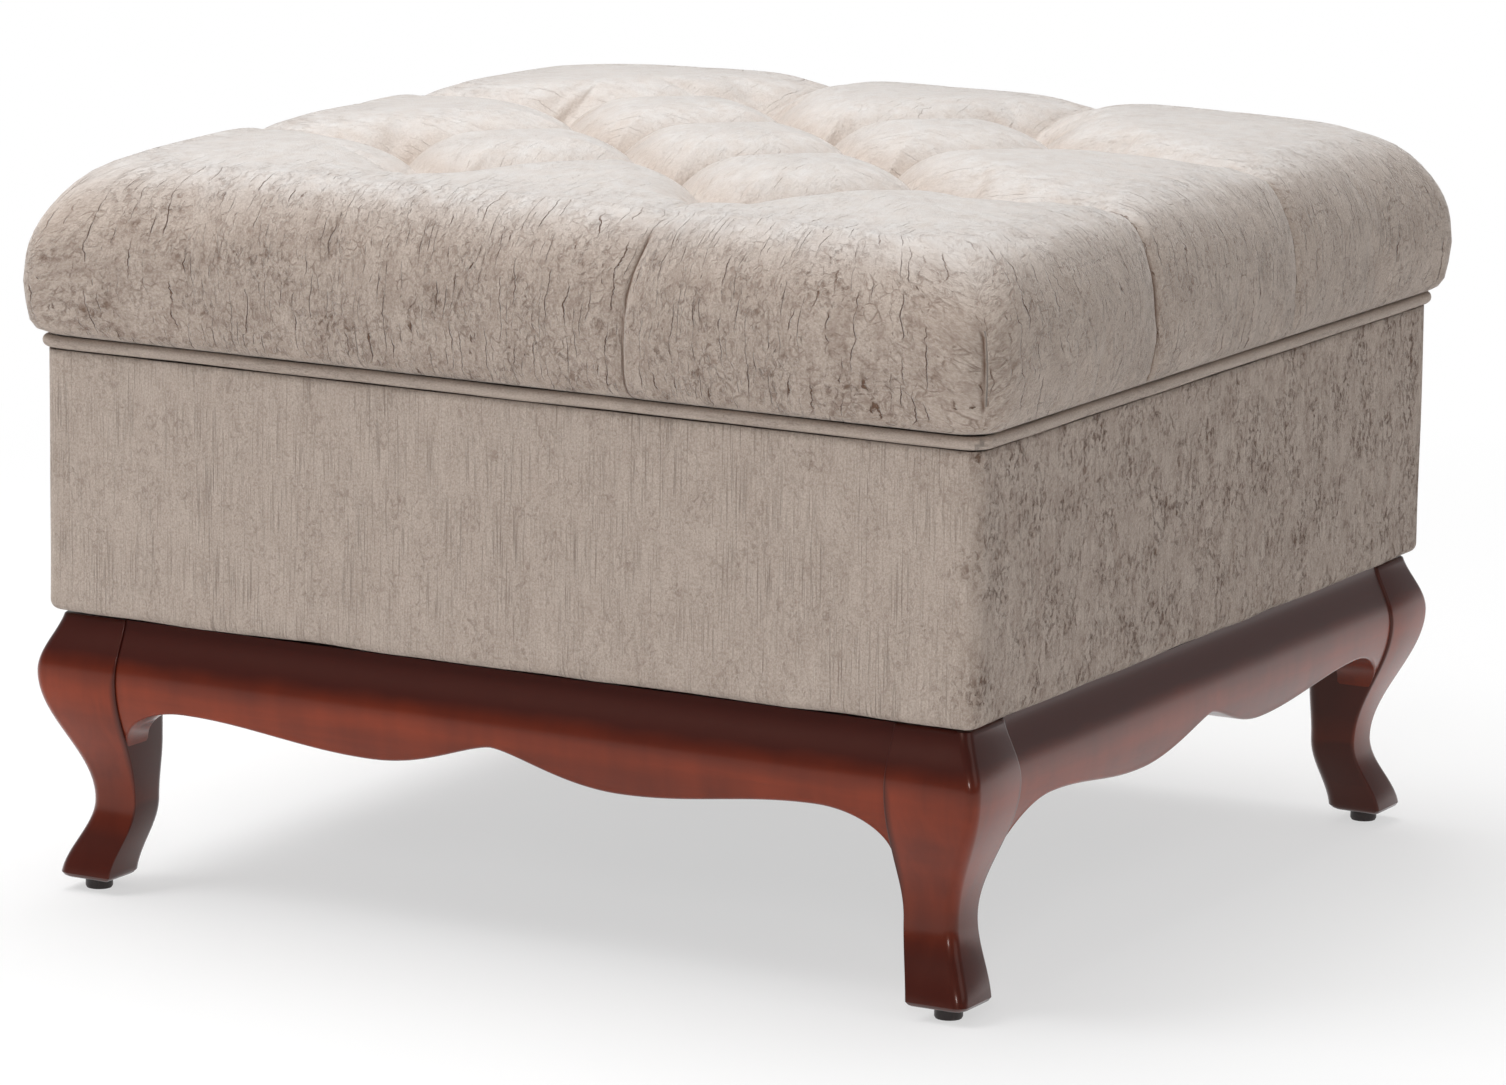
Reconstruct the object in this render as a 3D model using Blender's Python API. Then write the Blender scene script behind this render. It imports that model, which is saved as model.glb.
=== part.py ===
"""A square upholstered stool: a button-tufted cushion sewn to a cloth-covered box,
which stands on a carved wooden frame with four curved legs.

Metres, +Z up. The origin is on the floor under the middle of the stool.
The front is -Y, the back +Y, the left -X and the right +X.
"""

import math

import bmesh
import bpy
from mathutils import Matrix, Vector

# Gap left between pieces that touch on the real stool, and how far a cutter runs past what it cuts
FIT_GAP = 0.0003
CUT_PAST = 0.010

# Covered box, measured over its cloth
BODY_WIDTH = 0.603
BODY_DEPTH = 0.603
BODY_CORNER_RADIUS = 0.009

# Wooden frame: the carved face swings out at the knee and in at the ankle
FRAME_HEIGHT = 0.165
LEG_BLOCK = 0.0515
SHOULDER_RISE = 0.007
SHOULDER_FACE = -0.0075
KNEE_HEIGHT = 0.131
KNEE_FACE = 0.0050
ANKLE_HEIGHT = 0.053
ANKLE_FACE = -0.0190
TOE_HEIGHT = 0.006
TOE_FACE = -0.0045
ANKLE_THICKNESS = 0.0310
TOE_THICKNESS = 0.0360
LEG_ARRIS_RADIUS = 0.007
LEG_EDGE_RADIUS = 0.0015
LEG_INNER_RADIUS = 0.008
SOLE_BEVEL = 0.0025

# Aprons: thickness, how far they sit behind the legs, and their lower edge
APRON_THICKNESS = 0.022
APRON_SETBACK = 0.0015
APRON_NOTCH_HEIGHT = 0.122
APRON_BELLY_HEIGHT = 0.1045
APRON_BELLY_AT = 0.082
APRON_HOLLOW_HEIGHT = 0.1155
APRON_HOLLOW_FROM_LEG = 0.044
APRON_EAR_HEIGHT = 0.090
APRON_EDGE_RADIUS = 0.0025

# Tenons on the apron ends
TENON_THICKNESS = 0.010
TENON_LENGTH = 0.020
TENON_SHOULDER_TOP = 0.008
TENON_BOTTOM_HEIGHT = 0.124

# Corner blocks and their screws
BLOCK_HEIGHT = 0.028
BLOCK_REACH = 0.060
SCREW_SHANK_RADIUS = 0.0020
SCREW_HEAD_RADIUS = 0.0045
SCREW_HEAD_HEIGHT = 0.0028
SCREW_HEAD_TOP_SHARE = 0.6
SCREW_TIP_LENGTH = 0.004
SCREW_HOLE_CLEARANCE = 0.0005
BLOCK_SCREW_SPACING = 0.072
BLOCK_SCREW_LENGTH = 0.056
FRAME_SCREW_FROM_LEG = 0.014
FRAME_SCREW_BITE = 0.022

# Glides under the feet
GLIDE_RADIUS = 0.0080
GLIDE_HEIGHT = 0.0078
GLIDE_PIN_RADIUS = 0.0014
GLIDE_PIN_LENGTH = 0.015
GLIDE_BEVEL = 0.001

# Box: cloth outside, padding, panels, posts and deck inside
COVER_CLOTH = 0.0015
DUST_CLOTH = 0.0010
SIDE_PADDING = 0.005
PANEL_THICKNESS = 0.015
PANEL_HEIGHT = 0.1385
POST_SIZE = 0.060
DECK_THICKNESS = 0.015
COVER_TURN_UNDER = 0.025
COVER_HEM_RADIUS = 0.006
DUST_COVER_INSET = 0.015

# Welt cord between the cushion and the box
WELT_RADIUS = 0.0035
WELT_RISE = 0.0017
WELT_INSET = 0.0015
WELT_TAIL_THICKNESS = 0.0010
HEM_DEPTH = 0.009

# Cushion: foam core and the tufted cover over it. The shares shape its side from the rolled edge
# down to the widest place, then in to the welt: (of the roll or the overhang, of the height)
CUSHION_OVERHANG = 0.0165
CUSHION_CORNER_RADIUS = 0.024
CUSHION_CREST = 0.1100
CUSHION_CROWN = 0.006
CUSHION_CORNER_DROP = 0.008
CUSHION_EDGE_ROLL = 0.046
ROLL_SHARES = ((0.50, 0.865), (0.19, 0.71), (0.03, 0.53))
TUCK_SHARES = ((0.0, 0.32), (0.20, 0.10), (0.90, 0.0))
FOAM_HEIGHT = 0.072
FOAM_SIDE_COVER = 0.014
FOAM_EDGE = 0.020

# Tufts: diamond grid of buttons, two and three in turn from front to back
TUFT_PITCH = 0.0915
TUFT_ROWS = (2, 3, 2, 3, 2)
TUFT_SHIFT_X = -0.008
TUFT_SHIFT_Y = -0.008
FOLD_DEPTH = 0.022
EDGE_FOLD_DEPTH = 0.016
FOLD_REACH = 0.062
PIT_DEPTH = 0.012
PIT_REACH = 0.078
PLEAT_DEPTH = 0.007
PLEAT_REACH = 0.034
TUFT_LINE_SHARE = 0.28
BUTTON_RADIUS = 0.0090
BUTTON_HEIGHT = 0.0055
BUTTON_RIM_HEIGHT = 0.0017
BUTTON_BACK_SHARE = 0.75
BUTTON_SHOULDER_OUT = 0.80
BUTTON_SHOULDER_UP = 0.75
TWINE_RADIUS = 0.0012
TWINE_KNOT_RADIUS = 0.0045
TWINE_KNOT_HEIGHT = 0.003

# Facets on round work
CORNER_FACETS = 4
SCREW_FACETS = 8
BUTTON_FACETS = 10
GLIDE_FACETS = 20

# Levels and half sizes that follow from the sizes above
DUST_COVER_BOTTOM = FRAME_HEIGHT + FIT_GAP
SIDE_COVER_BOTTOM = DUST_COVER_BOTTOM + DUST_CLOTH + FIT_GAP
PANEL_BOTTOM = SIDE_COVER_BOTTOM + COVER_CLOTH + FIT_GAP
PANEL_TOP = PANEL_BOTTOM + PANEL_HEIGHT
DECK_BOTTOM = PANEL_TOP + FIT_GAP
DECK_TOP = DECK_BOTTOM + DECK_THICKNESS
WELT_HEIGHT = DECK_TOP + WELT_RISE
TUCK_HEIGHT = WELT_HEIGHT + WELT_RADIUS + FIT_GAP
HEM_BOTTOM = DECK_TOP - HEM_DEPTH
SIDE_COVER_TOP = WELT_HEIGHT - WELT_RADIUS - FIT_GAP
CREST_HEIGHT = TUCK_HEIGHT + CUSHION_CREST
FOAM_BOTTOM = DECK_TOP + FIT_GAP
FOAM_TOP = FOAM_BOTTOM + FOAM_HEIGHT
CARCASE_INSET = COVER_CLOTH + SIDE_PADDING + 2 * FIT_GAP
HALF_WIDTH = BODY_WIDTH / 2
HALF_DEPTH = BODY_DEPTH / 2

CORNERS = {
    "front_left": (-1, -1),
    "front_right": (1, -1),
    "back_right": (1, 1),
    "back_left": (-1, 1),
}


# Colours and finishes
def make_material(name, colour, roughness, metallic=0.0):
    material = bpy.data.materials.new(name)
    material.use_nodes = True
    shader = material.node_tree.nodes["Principled BSDF"]
    shader.inputs["Base Color"].default_value = (*colour, 1.0)
    shader.inputs["Roughness"].default_value = roughness
    shader.inputs["Metallic"].default_value = metallic
    return material


def make_materials():
    return {
        "velvet": make_material("taupe_velvet", (0.40, 0.34, 0.29), 0.85),
        "mahogany": make_material("mahogany_lacquer", (0.16, 0.035, 0.018), 0.30),
        "softwood": make_material("plain_softwood", (0.62, 0.47, 0.29), 0.75),
        "plywood": make_material("deck_plywood", (0.66, 0.52, 0.35), 0.75),
        "foam": make_material("cushion_foam", (0.86, 0.82, 0.66), 0.95),
        "padding": make_material("side_wadding", (0.88, 0.88, 0.86), 0.95),
        "dust_cloth": make_material("black_dust_cloth", (0.03, 0.03, 0.03), 0.90),
        "glide": make_material("glide_plastic", (0.02, 0.015, 0.015), 0.50),
        "screw_steel": make_material("screw_steel", (0.62, 0.60, 0.55), 0.40, 1.0),
    }


# Mesh helpers
def clear_scene():
    for thing in list(bpy.data.objects):
        bpy.data.objects.remove(thing, do_unlink=True)


def add_object(name, mesh, material, location=(0, 0, 0)):
    mesh.materials.clear()
    mesh.materials.append(material)
    piece = bpy.data.objects.new(name, mesh)
    piece.location = location
    bpy.context.scene.collection.objects.link(piece)
    return piece


def finish_mesh(name, work, smooth_angle=None):
    """Close a bmesh into a mesh with its faces pointing out."""
    bmesh.ops.recalc_face_normals(work, faces=work.faces)
    mesh = bpy.data.meshes.new(name)
    work.to_mesh(mesh)
    work.free()
    if smooth_angle is not None:
        mesh.shade_smooth()
        mesh.set_sharp_from_angle(angle=math.radians(smooth_angle))
    return mesh


def loft(name, rings, closed_end=True, smooth_angle=None):
    """Skin a stack of point rings; without ends the first and last rings are joined."""
    work = bmesh.new()
    rows = [[work.verts.new(point) for point in ring] for ring in rings]
    count = len(rows[0])
    pairs = list(zip(rows, rows[1:]))
    if not closed_end:
        pairs.append((rows[-1], rows[0]))
    for lower, upper in pairs:
        for i in range(count):
            j = (i + 1) % count
            work.faces.new((lower[i], lower[j], upper[j], upper[i]))
    if closed_end:
        work.faces.new(list(reversed(rows[0])))
        work.faces.new(rows[-1])
    return finish_mesh(name, work, smooth_angle)


def box_mesh(name, low, high):
    work = bmesh.new()
    bmesh.ops.create_cube(work, size=1.0)
    size = Vector(high) - Vector(low)
    middle = (Vector(high) + Vector(low)) / 2
    bmesh.ops.scale(work, vec=size, verts=work.verts)
    bmesh.ops.translate(work, vec=middle, verts=work.verts)
    return finish_mesh(name, work)


def rounded_ring(half_x, half_y, radius, height):
    """Points of a rounded rectangle, counter-clockwise from above."""
    points = []
    for quarter, (sx, sy) in enumerate(((1, -1), (1, 1), (-1, 1), (-1, -1))):
        for step in range(CORNER_FACETS + 1):
            angle = math.radians(90 * (quarter - 1 + step / CORNER_FACETS))
            x = sx * (half_x - radius) + radius * math.cos(angle)
            y = sy * (half_y - radius) + radius * math.sin(angle)
            points.append((x, y, height))
    return points


def body_ring(inset, height):
    """Rounded rectangle at a given depth inside the box's cloth."""
    radius = max(BODY_CORNER_RADIUS - inset, FIT_GAP)
    return rounded_ring(HALF_WIDTH - inset, HALF_DEPTH - inset, radius, height)


def turned(name, profile, facets, smooth_angle=40):
    """Turn (radius, height) points about Z; a radius of 0 closes the end in a point."""
    work = bmesh.new()
    rows = []
    for radius, height in profile:
        if radius == 0:
            rows.append([work.verts.new((0, 0, height))])
            continue
        row = []
        for i in range(facets):
            angle = 2 * math.pi * i / facets
            row.append(work.verts.new((radius * math.cos(angle), radius * math.sin(angle), height)))
        rows.append(row)
    for lower, upper in zip(rows, rows[1:]):
        for i in range(facets):
            j = (i + 1) % facets
            if len(lower) == 1:
                work.faces.new((lower[0], upper[j], upper[i]))
            elif len(upper) == 1:
                work.faces.new((lower[i], lower[j], upper[0]))
            else:
                work.faces.new((lower[i], lower[j], upper[j], upper[i]))
    if len(rows[0]) > 1:
        work.faces.new(list(reversed(rows[0])))
    if len(rows[-1]) > 1:
        work.faces.new(rows[-1])
    return finish_mesh(name, work, smooth_angle)


def hole_mesh(radius, bottom, top, facets):
    """Round cutter along Z."""
    return turned("hole", [(radius, bottom), (radius, top)], facets)


def combine(piece, tool_mesh, operation, place=None):
    """Cut a tool mesh from a piece, or join it on, and keep the plain result."""
    tool = bpy.data.objects.new("tool", tool_mesh)
    if place is not None:
        tool.matrix_world = place
    bpy.context.scene.collection.objects.link(tool)
    modifier = piece.modifiers.new("tool", "BOOLEAN")
    modifier.operation = operation
    modifier.object = tool
    bpy.context.view_layer.update()
    graph = bpy.context.evaluated_depsgraph_get()
    result = bpy.data.meshes.new_from_object(piece.evaluated_get(graph))
    piece.modifiers.clear()
    piece.data = result
    bpy.data.objects.remove(tool, do_unlink=True)


def many(name, mesh, places):
    """One mesh holding a copy of another at each place."""
    work = bmesh.new()
    for place in places:
        copy = mesh.copy()
        copy.transform(place)
        work.from_mesh(copy)
    return finish_mesh(name, work)


# Carved face shared by the legs and the aprons
def ease(share):
    """Smooth step from 0 to 1 with level ends."""
    share = min(max(share, 0.0), 1.0)
    return 0.5 - 0.5 * math.cos(math.pi * share)


def ease_through(stations, at):
    """Value at a place between (place, value) stations, level at each station."""
    for (low, low_value), (high, high_value) in zip(stations, stations[1:]):
        if at <= high:
            return low_value + (high_value - low_value) * ease((at - low) / (high - low))
    return stations[-1][1]


def carved_face(height):
    """How far the carved face stands out from the box's side at a height."""
    stations = (
        (TOE_HEIGHT, TOE_FACE),
        (ANKLE_HEIGHT, ANKLE_FACE),
        (KNEE_HEIGHT, KNEE_FACE),
        (FRAME_HEIGHT + SHOULDER_RISE, SHOULDER_FACE),
    )
    return ease_through(stations, height)


# Legs
def leg_inner(height):
    """Place of the leg's two inner faces, measured from the box's side."""
    stations = (
        (TOE_HEIGHT, TOE_FACE - TOE_THICKNESS),
        (ANKLE_HEIGHT, ANKLE_FACE - ANKLE_THICKNESS),
        (APRON_EAR_HEIGHT, -LEG_BLOCK),
    )
    return ease_through(stations, height)


def leg_ring(height, shrink=0.0):
    """Section of a leg whose outer corner looks to +X and +Y."""
    outer = carved_face(height) - shrink
    inner = leg_inner(height) + shrink
    edge = LEG_EDGE_RADIUS
    radius = LEG_INNER_RADIUS
    points = []
    for step in range(3):
        angle = math.radians(180 + 45 * step)
        points.append((inner + radius + radius * math.cos(angle), inner + radius + radius * math.sin(angle)))
    points += [(outer - edge, inner), (outer, inner + edge)]
    centre = outer - LEG_ARRIS_RADIUS
    for step in range(CORNER_FACETS + 1):
        angle = math.radians(90 * step / CORNER_FACETS)
        points.append(
            (centre + LEG_ARRIS_RADIUS * math.cos(angle), centre + LEG_ARRIS_RADIUS * math.sin(angle))
        )
    points += [(inner + edge, outer), (inner, outer - edge)]
    return [(x, y, height) for x, y in points]


def tenon_span():
    """Face depth of a tenon's middle, and its bottom and top heights."""
    middle = apron_back() + APRON_THICKNESS / 2
    return middle, TENON_BOTTOM_HEIGHT, FRAME_HEIGHT - TENON_SHOULDER_TOP


def leg_mesh():
    sole = GLIDE_HEIGHT + FIT_GAP
    levels = [sole + SOLE_BEVEL + (FRAME_HEIGHT - sole - SOLE_BEVEL) * i / 20 for i in range(21)]
    rings = [leg_ring(sole, SOLE_BEVEL)] + [leg_ring(level) for level in levels]
    return loft("leg", rings, smooth_angle=40)


def make_legs(materials):
    middle, bottom, top = tenon_span()
    half = TENON_THICKNESS / 2 + FIT_GAP
    reach = -LEG_BLOCK + TENON_LENGTH + FIT_GAP
    mouth = -LEG_BLOCK - CUT_PAST
    low, high = bottom - FIT_GAP, top + FIT_GAP
    mortise_x = box_mesh("mortise", (mouth, middle - half, low), (reach, middle + half, high))
    mortise_y = box_mesh("mortise", (middle - half, mouth, low), (middle + half, reach, high))
    pin_hole = hole_mesh(GLIDE_PIN_RADIUS + FIT_GAP, -CUT_PAST, GLIDE_PIN_LENGTH + FIT_GAP, GLIDE_FACETS)
    foot = foot_centre()
    for quarter, (name, (sx, sy)) in enumerate(CORNERS.items()):
        turn = math.radians(90 * (quarter - 2))
        place = (sx * HALF_WIDTH, sy * HALF_DEPTH, 0)
        leg = add_object("leg_" + name, leg_mesh(), materials["mahogany"])
        combine(leg, mortise_x.copy(), "DIFFERENCE")
        combine(leg, mortise_y.copy(), "DIFFERENCE")
        combine(leg, pin_hole.copy(), "DIFFERENCE", Matrix.Translation((foot, foot, GLIDE_HEIGHT)))
        leg.location = place
        leg.rotation_euler = (0, 0, turn)


# Glides
def foot_centre():
    """Middle of the sole, measured from the box's side."""
    sole = GLIDE_HEIGHT + FIT_GAP
    return (carved_face(sole) + leg_inner(sole)) / 2


def make_glides(materials):
    bevel = GLIDE_BEVEL
    profile = [
        (GLIDE_RADIUS - bevel, 0),
        (GLIDE_RADIUS, bevel),
        (GLIDE_RADIUS, GLIDE_HEIGHT - bevel),
        (GLIDE_RADIUS - bevel, GLIDE_HEIGHT),
        (GLIDE_PIN_RADIUS, GLIDE_HEIGHT),
        (GLIDE_PIN_RADIUS, GLIDE_HEIGHT + GLIDE_PIN_LENGTH - GLIDE_PIN_RADIUS),
        (0, GLIDE_HEIGHT + GLIDE_PIN_LENGTH),
    ]
    mesh = turned("glide", profile, GLIDE_FACETS)
    foot = foot_centre()
    for name, (sx, sy) in CORNERS.items():
        place = (sx * (HALF_WIDTH + foot), sy * (HALF_DEPTH + foot), 0)
        add_object("glide_" + name, mesh.copy(), materials["glide"], place)


# Aprons
def apron_back():
    """Inner face of the aprons, measured from the box's side."""
    return carved_face(FRAME_HEIGHT) - APRON_SETBACK - APRON_THICKNESS


def apron_lower_edge(along, half_length):
    """Height of the lower edge: a notch, a belly on each side, a hollow, then an ear at the leg."""
    along = abs(along)
    hollow_at = half_length - APRON_HOLLOW_FROM_LEG
    if along > hollow_at:
        share = (along - hollow_at) / (half_length - hollow_at)
        drop = APRON_HOLLOW_HEIGHT - APRON_EAR_HEIGHT
        return APRON_EAR_HEIGHT + drop * math.sqrt(max(1 - share * share, 0.0))
    if along < APRON_BELLY_AT:
        rise = APRON_NOTCH_HEIGHT - APRON_BELLY_HEIGHT
        return APRON_NOTCH_HEIGHT - rise * ease((along / APRON_BELLY_AT) ** 0.75)
    share = (along - APRON_BELLY_AT) / (hollow_at - APRON_BELLY_AT)
    return APRON_BELLY_HEIGHT + (APRON_HOLLOW_HEIGHT - APRON_BELLY_HEIGHT) * ease(share)


def apron_stations(half_length):
    """Places along the apron, closer together at the notch and at the ears."""
    hollow_at = half_length - APRON_HOLLOW_FROM_LEG
    places = [APRON_BELLY_AT * i / 6 for i in range(6)]
    places += [APRON_BELLY_AT + (hollow_at - APRON_BELLY_AT) * i / 4 for i in range(4)]
    places += [hollow_at + APRON_HOLLOW_FROM_LEG * math.sin(math.radians(90 * i / 6)) for i in range(7)]
    return [-place for place in reversed(places[1:])] + places


def apron_ring(along, half_length):
    """Section of an apron whose carved face looks to +Y, at a place along X."""
    low = apron_lower_edge(along, half_length)
    edge = APRON_EDGE_RADIUS
    points = [(apron_back(), FRAME_HEIGHT), (apron_back(), low)]
    points.append((carved_face(low) - APRON_SETBACK - edge, low))
    for step in range(7):
        height = low + edge + (FRAME_HEIGHT - low - edge) * step / 6
        points.append((carved_face(height) - APRON_SETBACK, height))
    return [(along, y, z) for y, z in points]


def make_aprons(materials):
    middle, bottom, top = tenon_span()
    half = TENON_THICKNESS / 2
    root = CUT_PAST / 2
    sides = (
        ("front", 0, -1, BODY_WIDTH, 180),
        ("right", 1, 0, BODY_DEPTH, -90),
        ("back", 0, 1, BODY_WIDTH, 0),
        ("left", -1, 0, BODY_DEPTH, 90),
    )
    for name, sx, sy, length, turn in sides:
        half_length = length / 2 - LEG_BLOCK - FIT_GAP
        rings = [apron_ring(along, half_length) for along in apron_stations(half_length)]
        apron = add_object("apron_" + name, loft("apron", rings, smooth_angle=35), materials["mahogany"])
        for end in (-1, 1):
            ends = sorted((end * (half_length - root), end * (half_length + TENON_LENGTH)))
            tenon = box_mesh("tenon", (ends[0], middle - half, bottom), (ends[1], middle + half, top))
            combine(apron, tenon, "UNION")
        apron.location = (sx * HALF_WIDTH, sy * HALF_DEPTH, 0)
        apron.rotation_euler = (0, 0, math.radians(turn))


# Corner blocks, and the screws through them
def block_outline():
    """Plan of a block for the +X +Y corner, measured from the box's sides."""
    wall = apron_back() - FIT_GAP
    notch = -LEG_BLOCK - FIT_GAP
    far = wall - LEG_BLOCK - BLOCK_REACH + APRON_THICKNESS
    return [(far, wall), (wall, far), (wall, notch), (notch, notch), (notch, wall)]


def block_hypotenuse():
    """Sum of x and y along the block's long inner face."""
    outline = block_outline()
    return outline[0][0] + outline[0][1]


def block_screw_places():
    """Places and directions of the two block screws in the +X +Y corner."""
    mid = block_hypotenuse() / 2
    shift = BLOCK_SCREW_SPACING / 2 / math.sqrt(2)
    height = FRAME_HEIGHT - BLOCK_HEIGHT / 2
    return [(mid + side * shift, mid - side * shift, height) for side in (-1, 1)]


def frame_screw_place():
    """Plan place of the upright screw in the +X +Y corner."""
    return -LEG_BLOCK - FRAME_SCREW_FROM_LEG


def screw_profile(length):
    return [
        (SCREW_HEAD_RADIUS * SCREW_HEAD_TOP_SHARE, -SCREW_HEAD_HEIGHT),
        (SCREW_HEAD_RADIUS, -SCREW_HEAD_HEIGHT / 2),
        (SCREW_HEAD_RADIUS, -FIT_GAP),
        (SCREW_SHANK_RADIUS, -FIT_GAP),
        (SCREW_SHANK_RADIUS, length - SCREW_TIP_LENGTH),
        (0, length),
    ]


def corner_turn(quarter, name):
    """Matrix that takes the +X +Y corner's pieces to another corner."""
    sx, sy = CORNERS[name]
    spin = Matrix.Rotation(math.radians(90 * (quarter - 2)), 4, "Z")
    return Matrix.Translation((sx * HALF_WIDTH, sy * HALF_DEPTH, 0)) @ spin


def make_blocks_and_screws(materials):
    low = FRAME_HEIGHT - BLOCK_HEIGHT
    outline = block_outline()
    inward = Matrix.Rotation(math.radians(45), 4, "Z") @ Matrix.Rotation(math.radians(90), 4, "Y")
    upright_length = BLOCK_HEIGHT + PANEL_BOTTOM - FRAME_HEIGHT + FRAME_SCREW_BITE
    upright = frame_screw_place()
    block_screw = turned("block_screw", screw_profile(BLOCK_SCREW_LENGTH), SCREW_FACETS)
    frame_screw = turned("frame_screw", screw_profile(upright_length), SCREW_FACETS)
    bore = SCREW_SHANK_RADIUS + SCREW_HOLE_CLEARANCE
    block_hole = hole_mesh(bore, -CUT_PAST, BLOCK_SCREW_LENGTH + FIT_GAP, SCREW_FACETS)
    frame_hole = hole_mesh(bore, -CUT_PAST, upright_length + FIT_GAP, SCREW_FACETS)
    apron_of = {
        "front_left": ("apron_front", "apron_left"),
        "front_right": ("apron_right", "apron_front"),
        "back_right": ("apron_back", "apron_right"),
        "back_left": ("apron_left", "apron_back"),
    }
    for quarter, name in enumerate(CORNERS):
        corner = corner_turn(quarter, name)
        rings = [[(x, y, z) for x, y in outline] for z in (low, FRAME_HEIGHT)]
        block_mesh = loft("corner_block", rings)
        block_mesh.transform(corner)
        block = add_object("corner_block_" + name, block_mesh, materials["softwood"])
        upright_place = corner @ Matrix.Translation((upright, upright, low))
        for target in (block, bpy.data.objects["dust_cover"], bpy.data.objects["box_post_" + name]):
            combine(target, frame_hole.copy(), "DIFFERENCE", upright_place)
        screw = add_object("frame_screw_" + name, frame_screw.copy(), materials["screw_steel"])
        screw.matrix_world = upright_place
        for side, (x, y, z) in enumerate(block_screw_places()):
            place = corner @ Matrix.Translation((x, y, z)) @ inward
            for target in (block, bpy.data.objects[apron_of[name][side]]):
                combine(target, block_hole.copy(), "DIFFERENCE", place)
            label = "block_screw_%s_%s" % (name, "ab"[side])
            screw = add_object(label, block_screw.copy(), materials["screw_steel"])
            screw.matrix_world = place


# Box: panels, posts and deck
def make_box(materials):
    half_x = HALF_WIDTH - CARCASE_INSET
    half_y = HALF_DEPTH - CARCASE_INSET
    radius = max(BODY_CORNER_RADIUS - CARCASE_INSET, FIT_GAP)
    inner_x = half_x - PANEL_THICKNESS - FIT_GAP
    inner_y = half_y - PANEL_THICKNESS
    for name, sy in (("front", -1), ("back", 1)):
        ring = [(-half_x, sy * inner_y), (half_x, sy * inner_y)]
        for end, first in ((1, 0), (-1, 90)):
            for step in range(CORNER_FACETS + 1):
                angle = math.radians(first + 90 * step / CORNER_FACETS)
                x = end * (half_x - radius) + radius * math.cos(angle)
                y = half_y - radius + radius * math.sin(angle)
                ring.append((x, sy * y))
        rings = [[(x, y, z) for x, y in ring] for z in (PANEL_BOTTOM, PANEL_TOP)]
        add_object("box_panel_" + name, loft("panel", rings), materials["softwood"])
    for name, sx in (("left", -1), ("right", 1)):
        across = sorted((sx * half_x, sx * (half_x - PANEL_THICKNESS)))
        low = (across[0], -inner_y + FIT_GAP, PANEL_BOTTOM)
        high = (across[1], inner_y - FIT_GAP, PANEL_TOP)
        add_object("box_panel_" + name, box_mesh("panel", low, high), materials["softwood"])
    for name, (sx, sy) in CORNERS.items():
        along_x = sorted((sx * inner_x, sx * (inner_x - POST_SIZE)))
        along_y = sorted((sy * (inner_y - FIT_GAP), sy * (inner_y - FIT_GAP - POST_SIZE)))
        low = (along_x[0], along_y[0], PANEL_BOTTOM)
        high = (along_x[1], along_y[1], PANEL_TOP)
        add_object("box_post_" + name, box_mesh("post", low, high), materials["softwood"])


def make_deck(materials):
    rings = [body_ring(CARCASE_INSET, height) for height in (DECK_BOTTOM, DECK_TOP)]
    return add_object("deck_board", loft("deck", rings), materials["plywood"])


# Cloth round the box
def make_side_padding(materials):
    outer = COVER_CLOTH + FIT_GAP
    inner = outer + SIDE_PADDING
    bottom = SIDE_COVER_BOTTOM + COVER_HEM_RADIUS
    top = HEM_BOTTOM - FIT_GAP
    rings = [
        body_ring(inner, bottom),
        body_ring(outer, bottom),
        body_ring(outer, top),
        body_ring(inner, top),
    ]
    return add_object("side_padding", loft("padding", rings, closed_end=False), materials["padding"])


def make_side_cover(materials):
    """Cloth down the four sides, round the lower edge and in under the box."""
    cloth = COVER_CLOTH
    bend = COVER_HEM_RADIUS
    inner_bend = bend - cloth
    outside = []
    inside = []
    for step in range(CORNER_FACETS + 1):
        angle = math.radians(90 * step / CORNER_FACETS)
        outside.append((bend - bend * math.sin(angle), SIDE_COVER_BOTTOM + bend - bend * math.cos(angle)))
        inside.append(
            (bend - inner_bend * math.sin(angle), SIDE_COVER_BOTTOM + bend - inner_bend * math.cos(angle))
        )
    profile = [(COVER_TURN_UNDER, SIDE_COVER_BOTTOM)] + outside + [(0, SIDE_COVER_TOP)]
    profile += [(cloth, SIDE_COVER_TOP)] + list(reversed(inside))
    profile.append((COVER_TURN_UNDER, SIDE_COVER_BOTTOM + cloth))
    rings = [body_ring(inset, height) for inset, height in profile]
    mesh = loft("side_cover", rings, closed_end=False, smooth_angle=40)
    return add_object("side_cover", mesh, materials["velvet"])


def make_dust_cover(materials):
    rings = [body_ring(DUST_COVER_INSET, DUST_COVER_BOTTOM + lift) for lift in (0, DUST_CLOTH)]
    return add_object("dust_cover", loft("dust_cover", rings), materials["dust_cloth"])


# Welt cord: a round bead with a flat tail stapled to the deck's edge
def hem_outer_inset():
    """Outer face of the cushion cover's hem on the deck's edge, from the box's side."""
    return CARCASE_INSET - FIT_GAP - COVER_CLOTH


def make_welt(materials):
    tail_inner = hem_outer_inset() - FIT_GAP
    tail_outer = tail_inner - WELT_TAIL_THICKNESS
    profile = [(tail_inner, HEM_BOTTOM), (tail_outer, HEM_BOTTOM)]
    start = math.acos(min((tail_outer - WELT_INSET) / WELT_RADIUS, 1.0))
    stop = 2 * math.pi - math.acos(min((tail_inner - WELT_INSET) / WELT_RADIUS, 0.999))
    for step in range(9):
        angle = start + (stop - start) * step / 8
        inset = WELT_INSET + WELT_RADIUS * math.cos(angle)
        profile.append((inset, WELT_HEIGHT - WELT_RADIUS * math.sin(angle)))
    rings = [body_ring(inset, height) for inset, height in profile]
    mesh = loft("welt", rings, closed_end=False, smooth_angle=50)
    return add_object("welt_cord", mesh, materials["velvet"])


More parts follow.
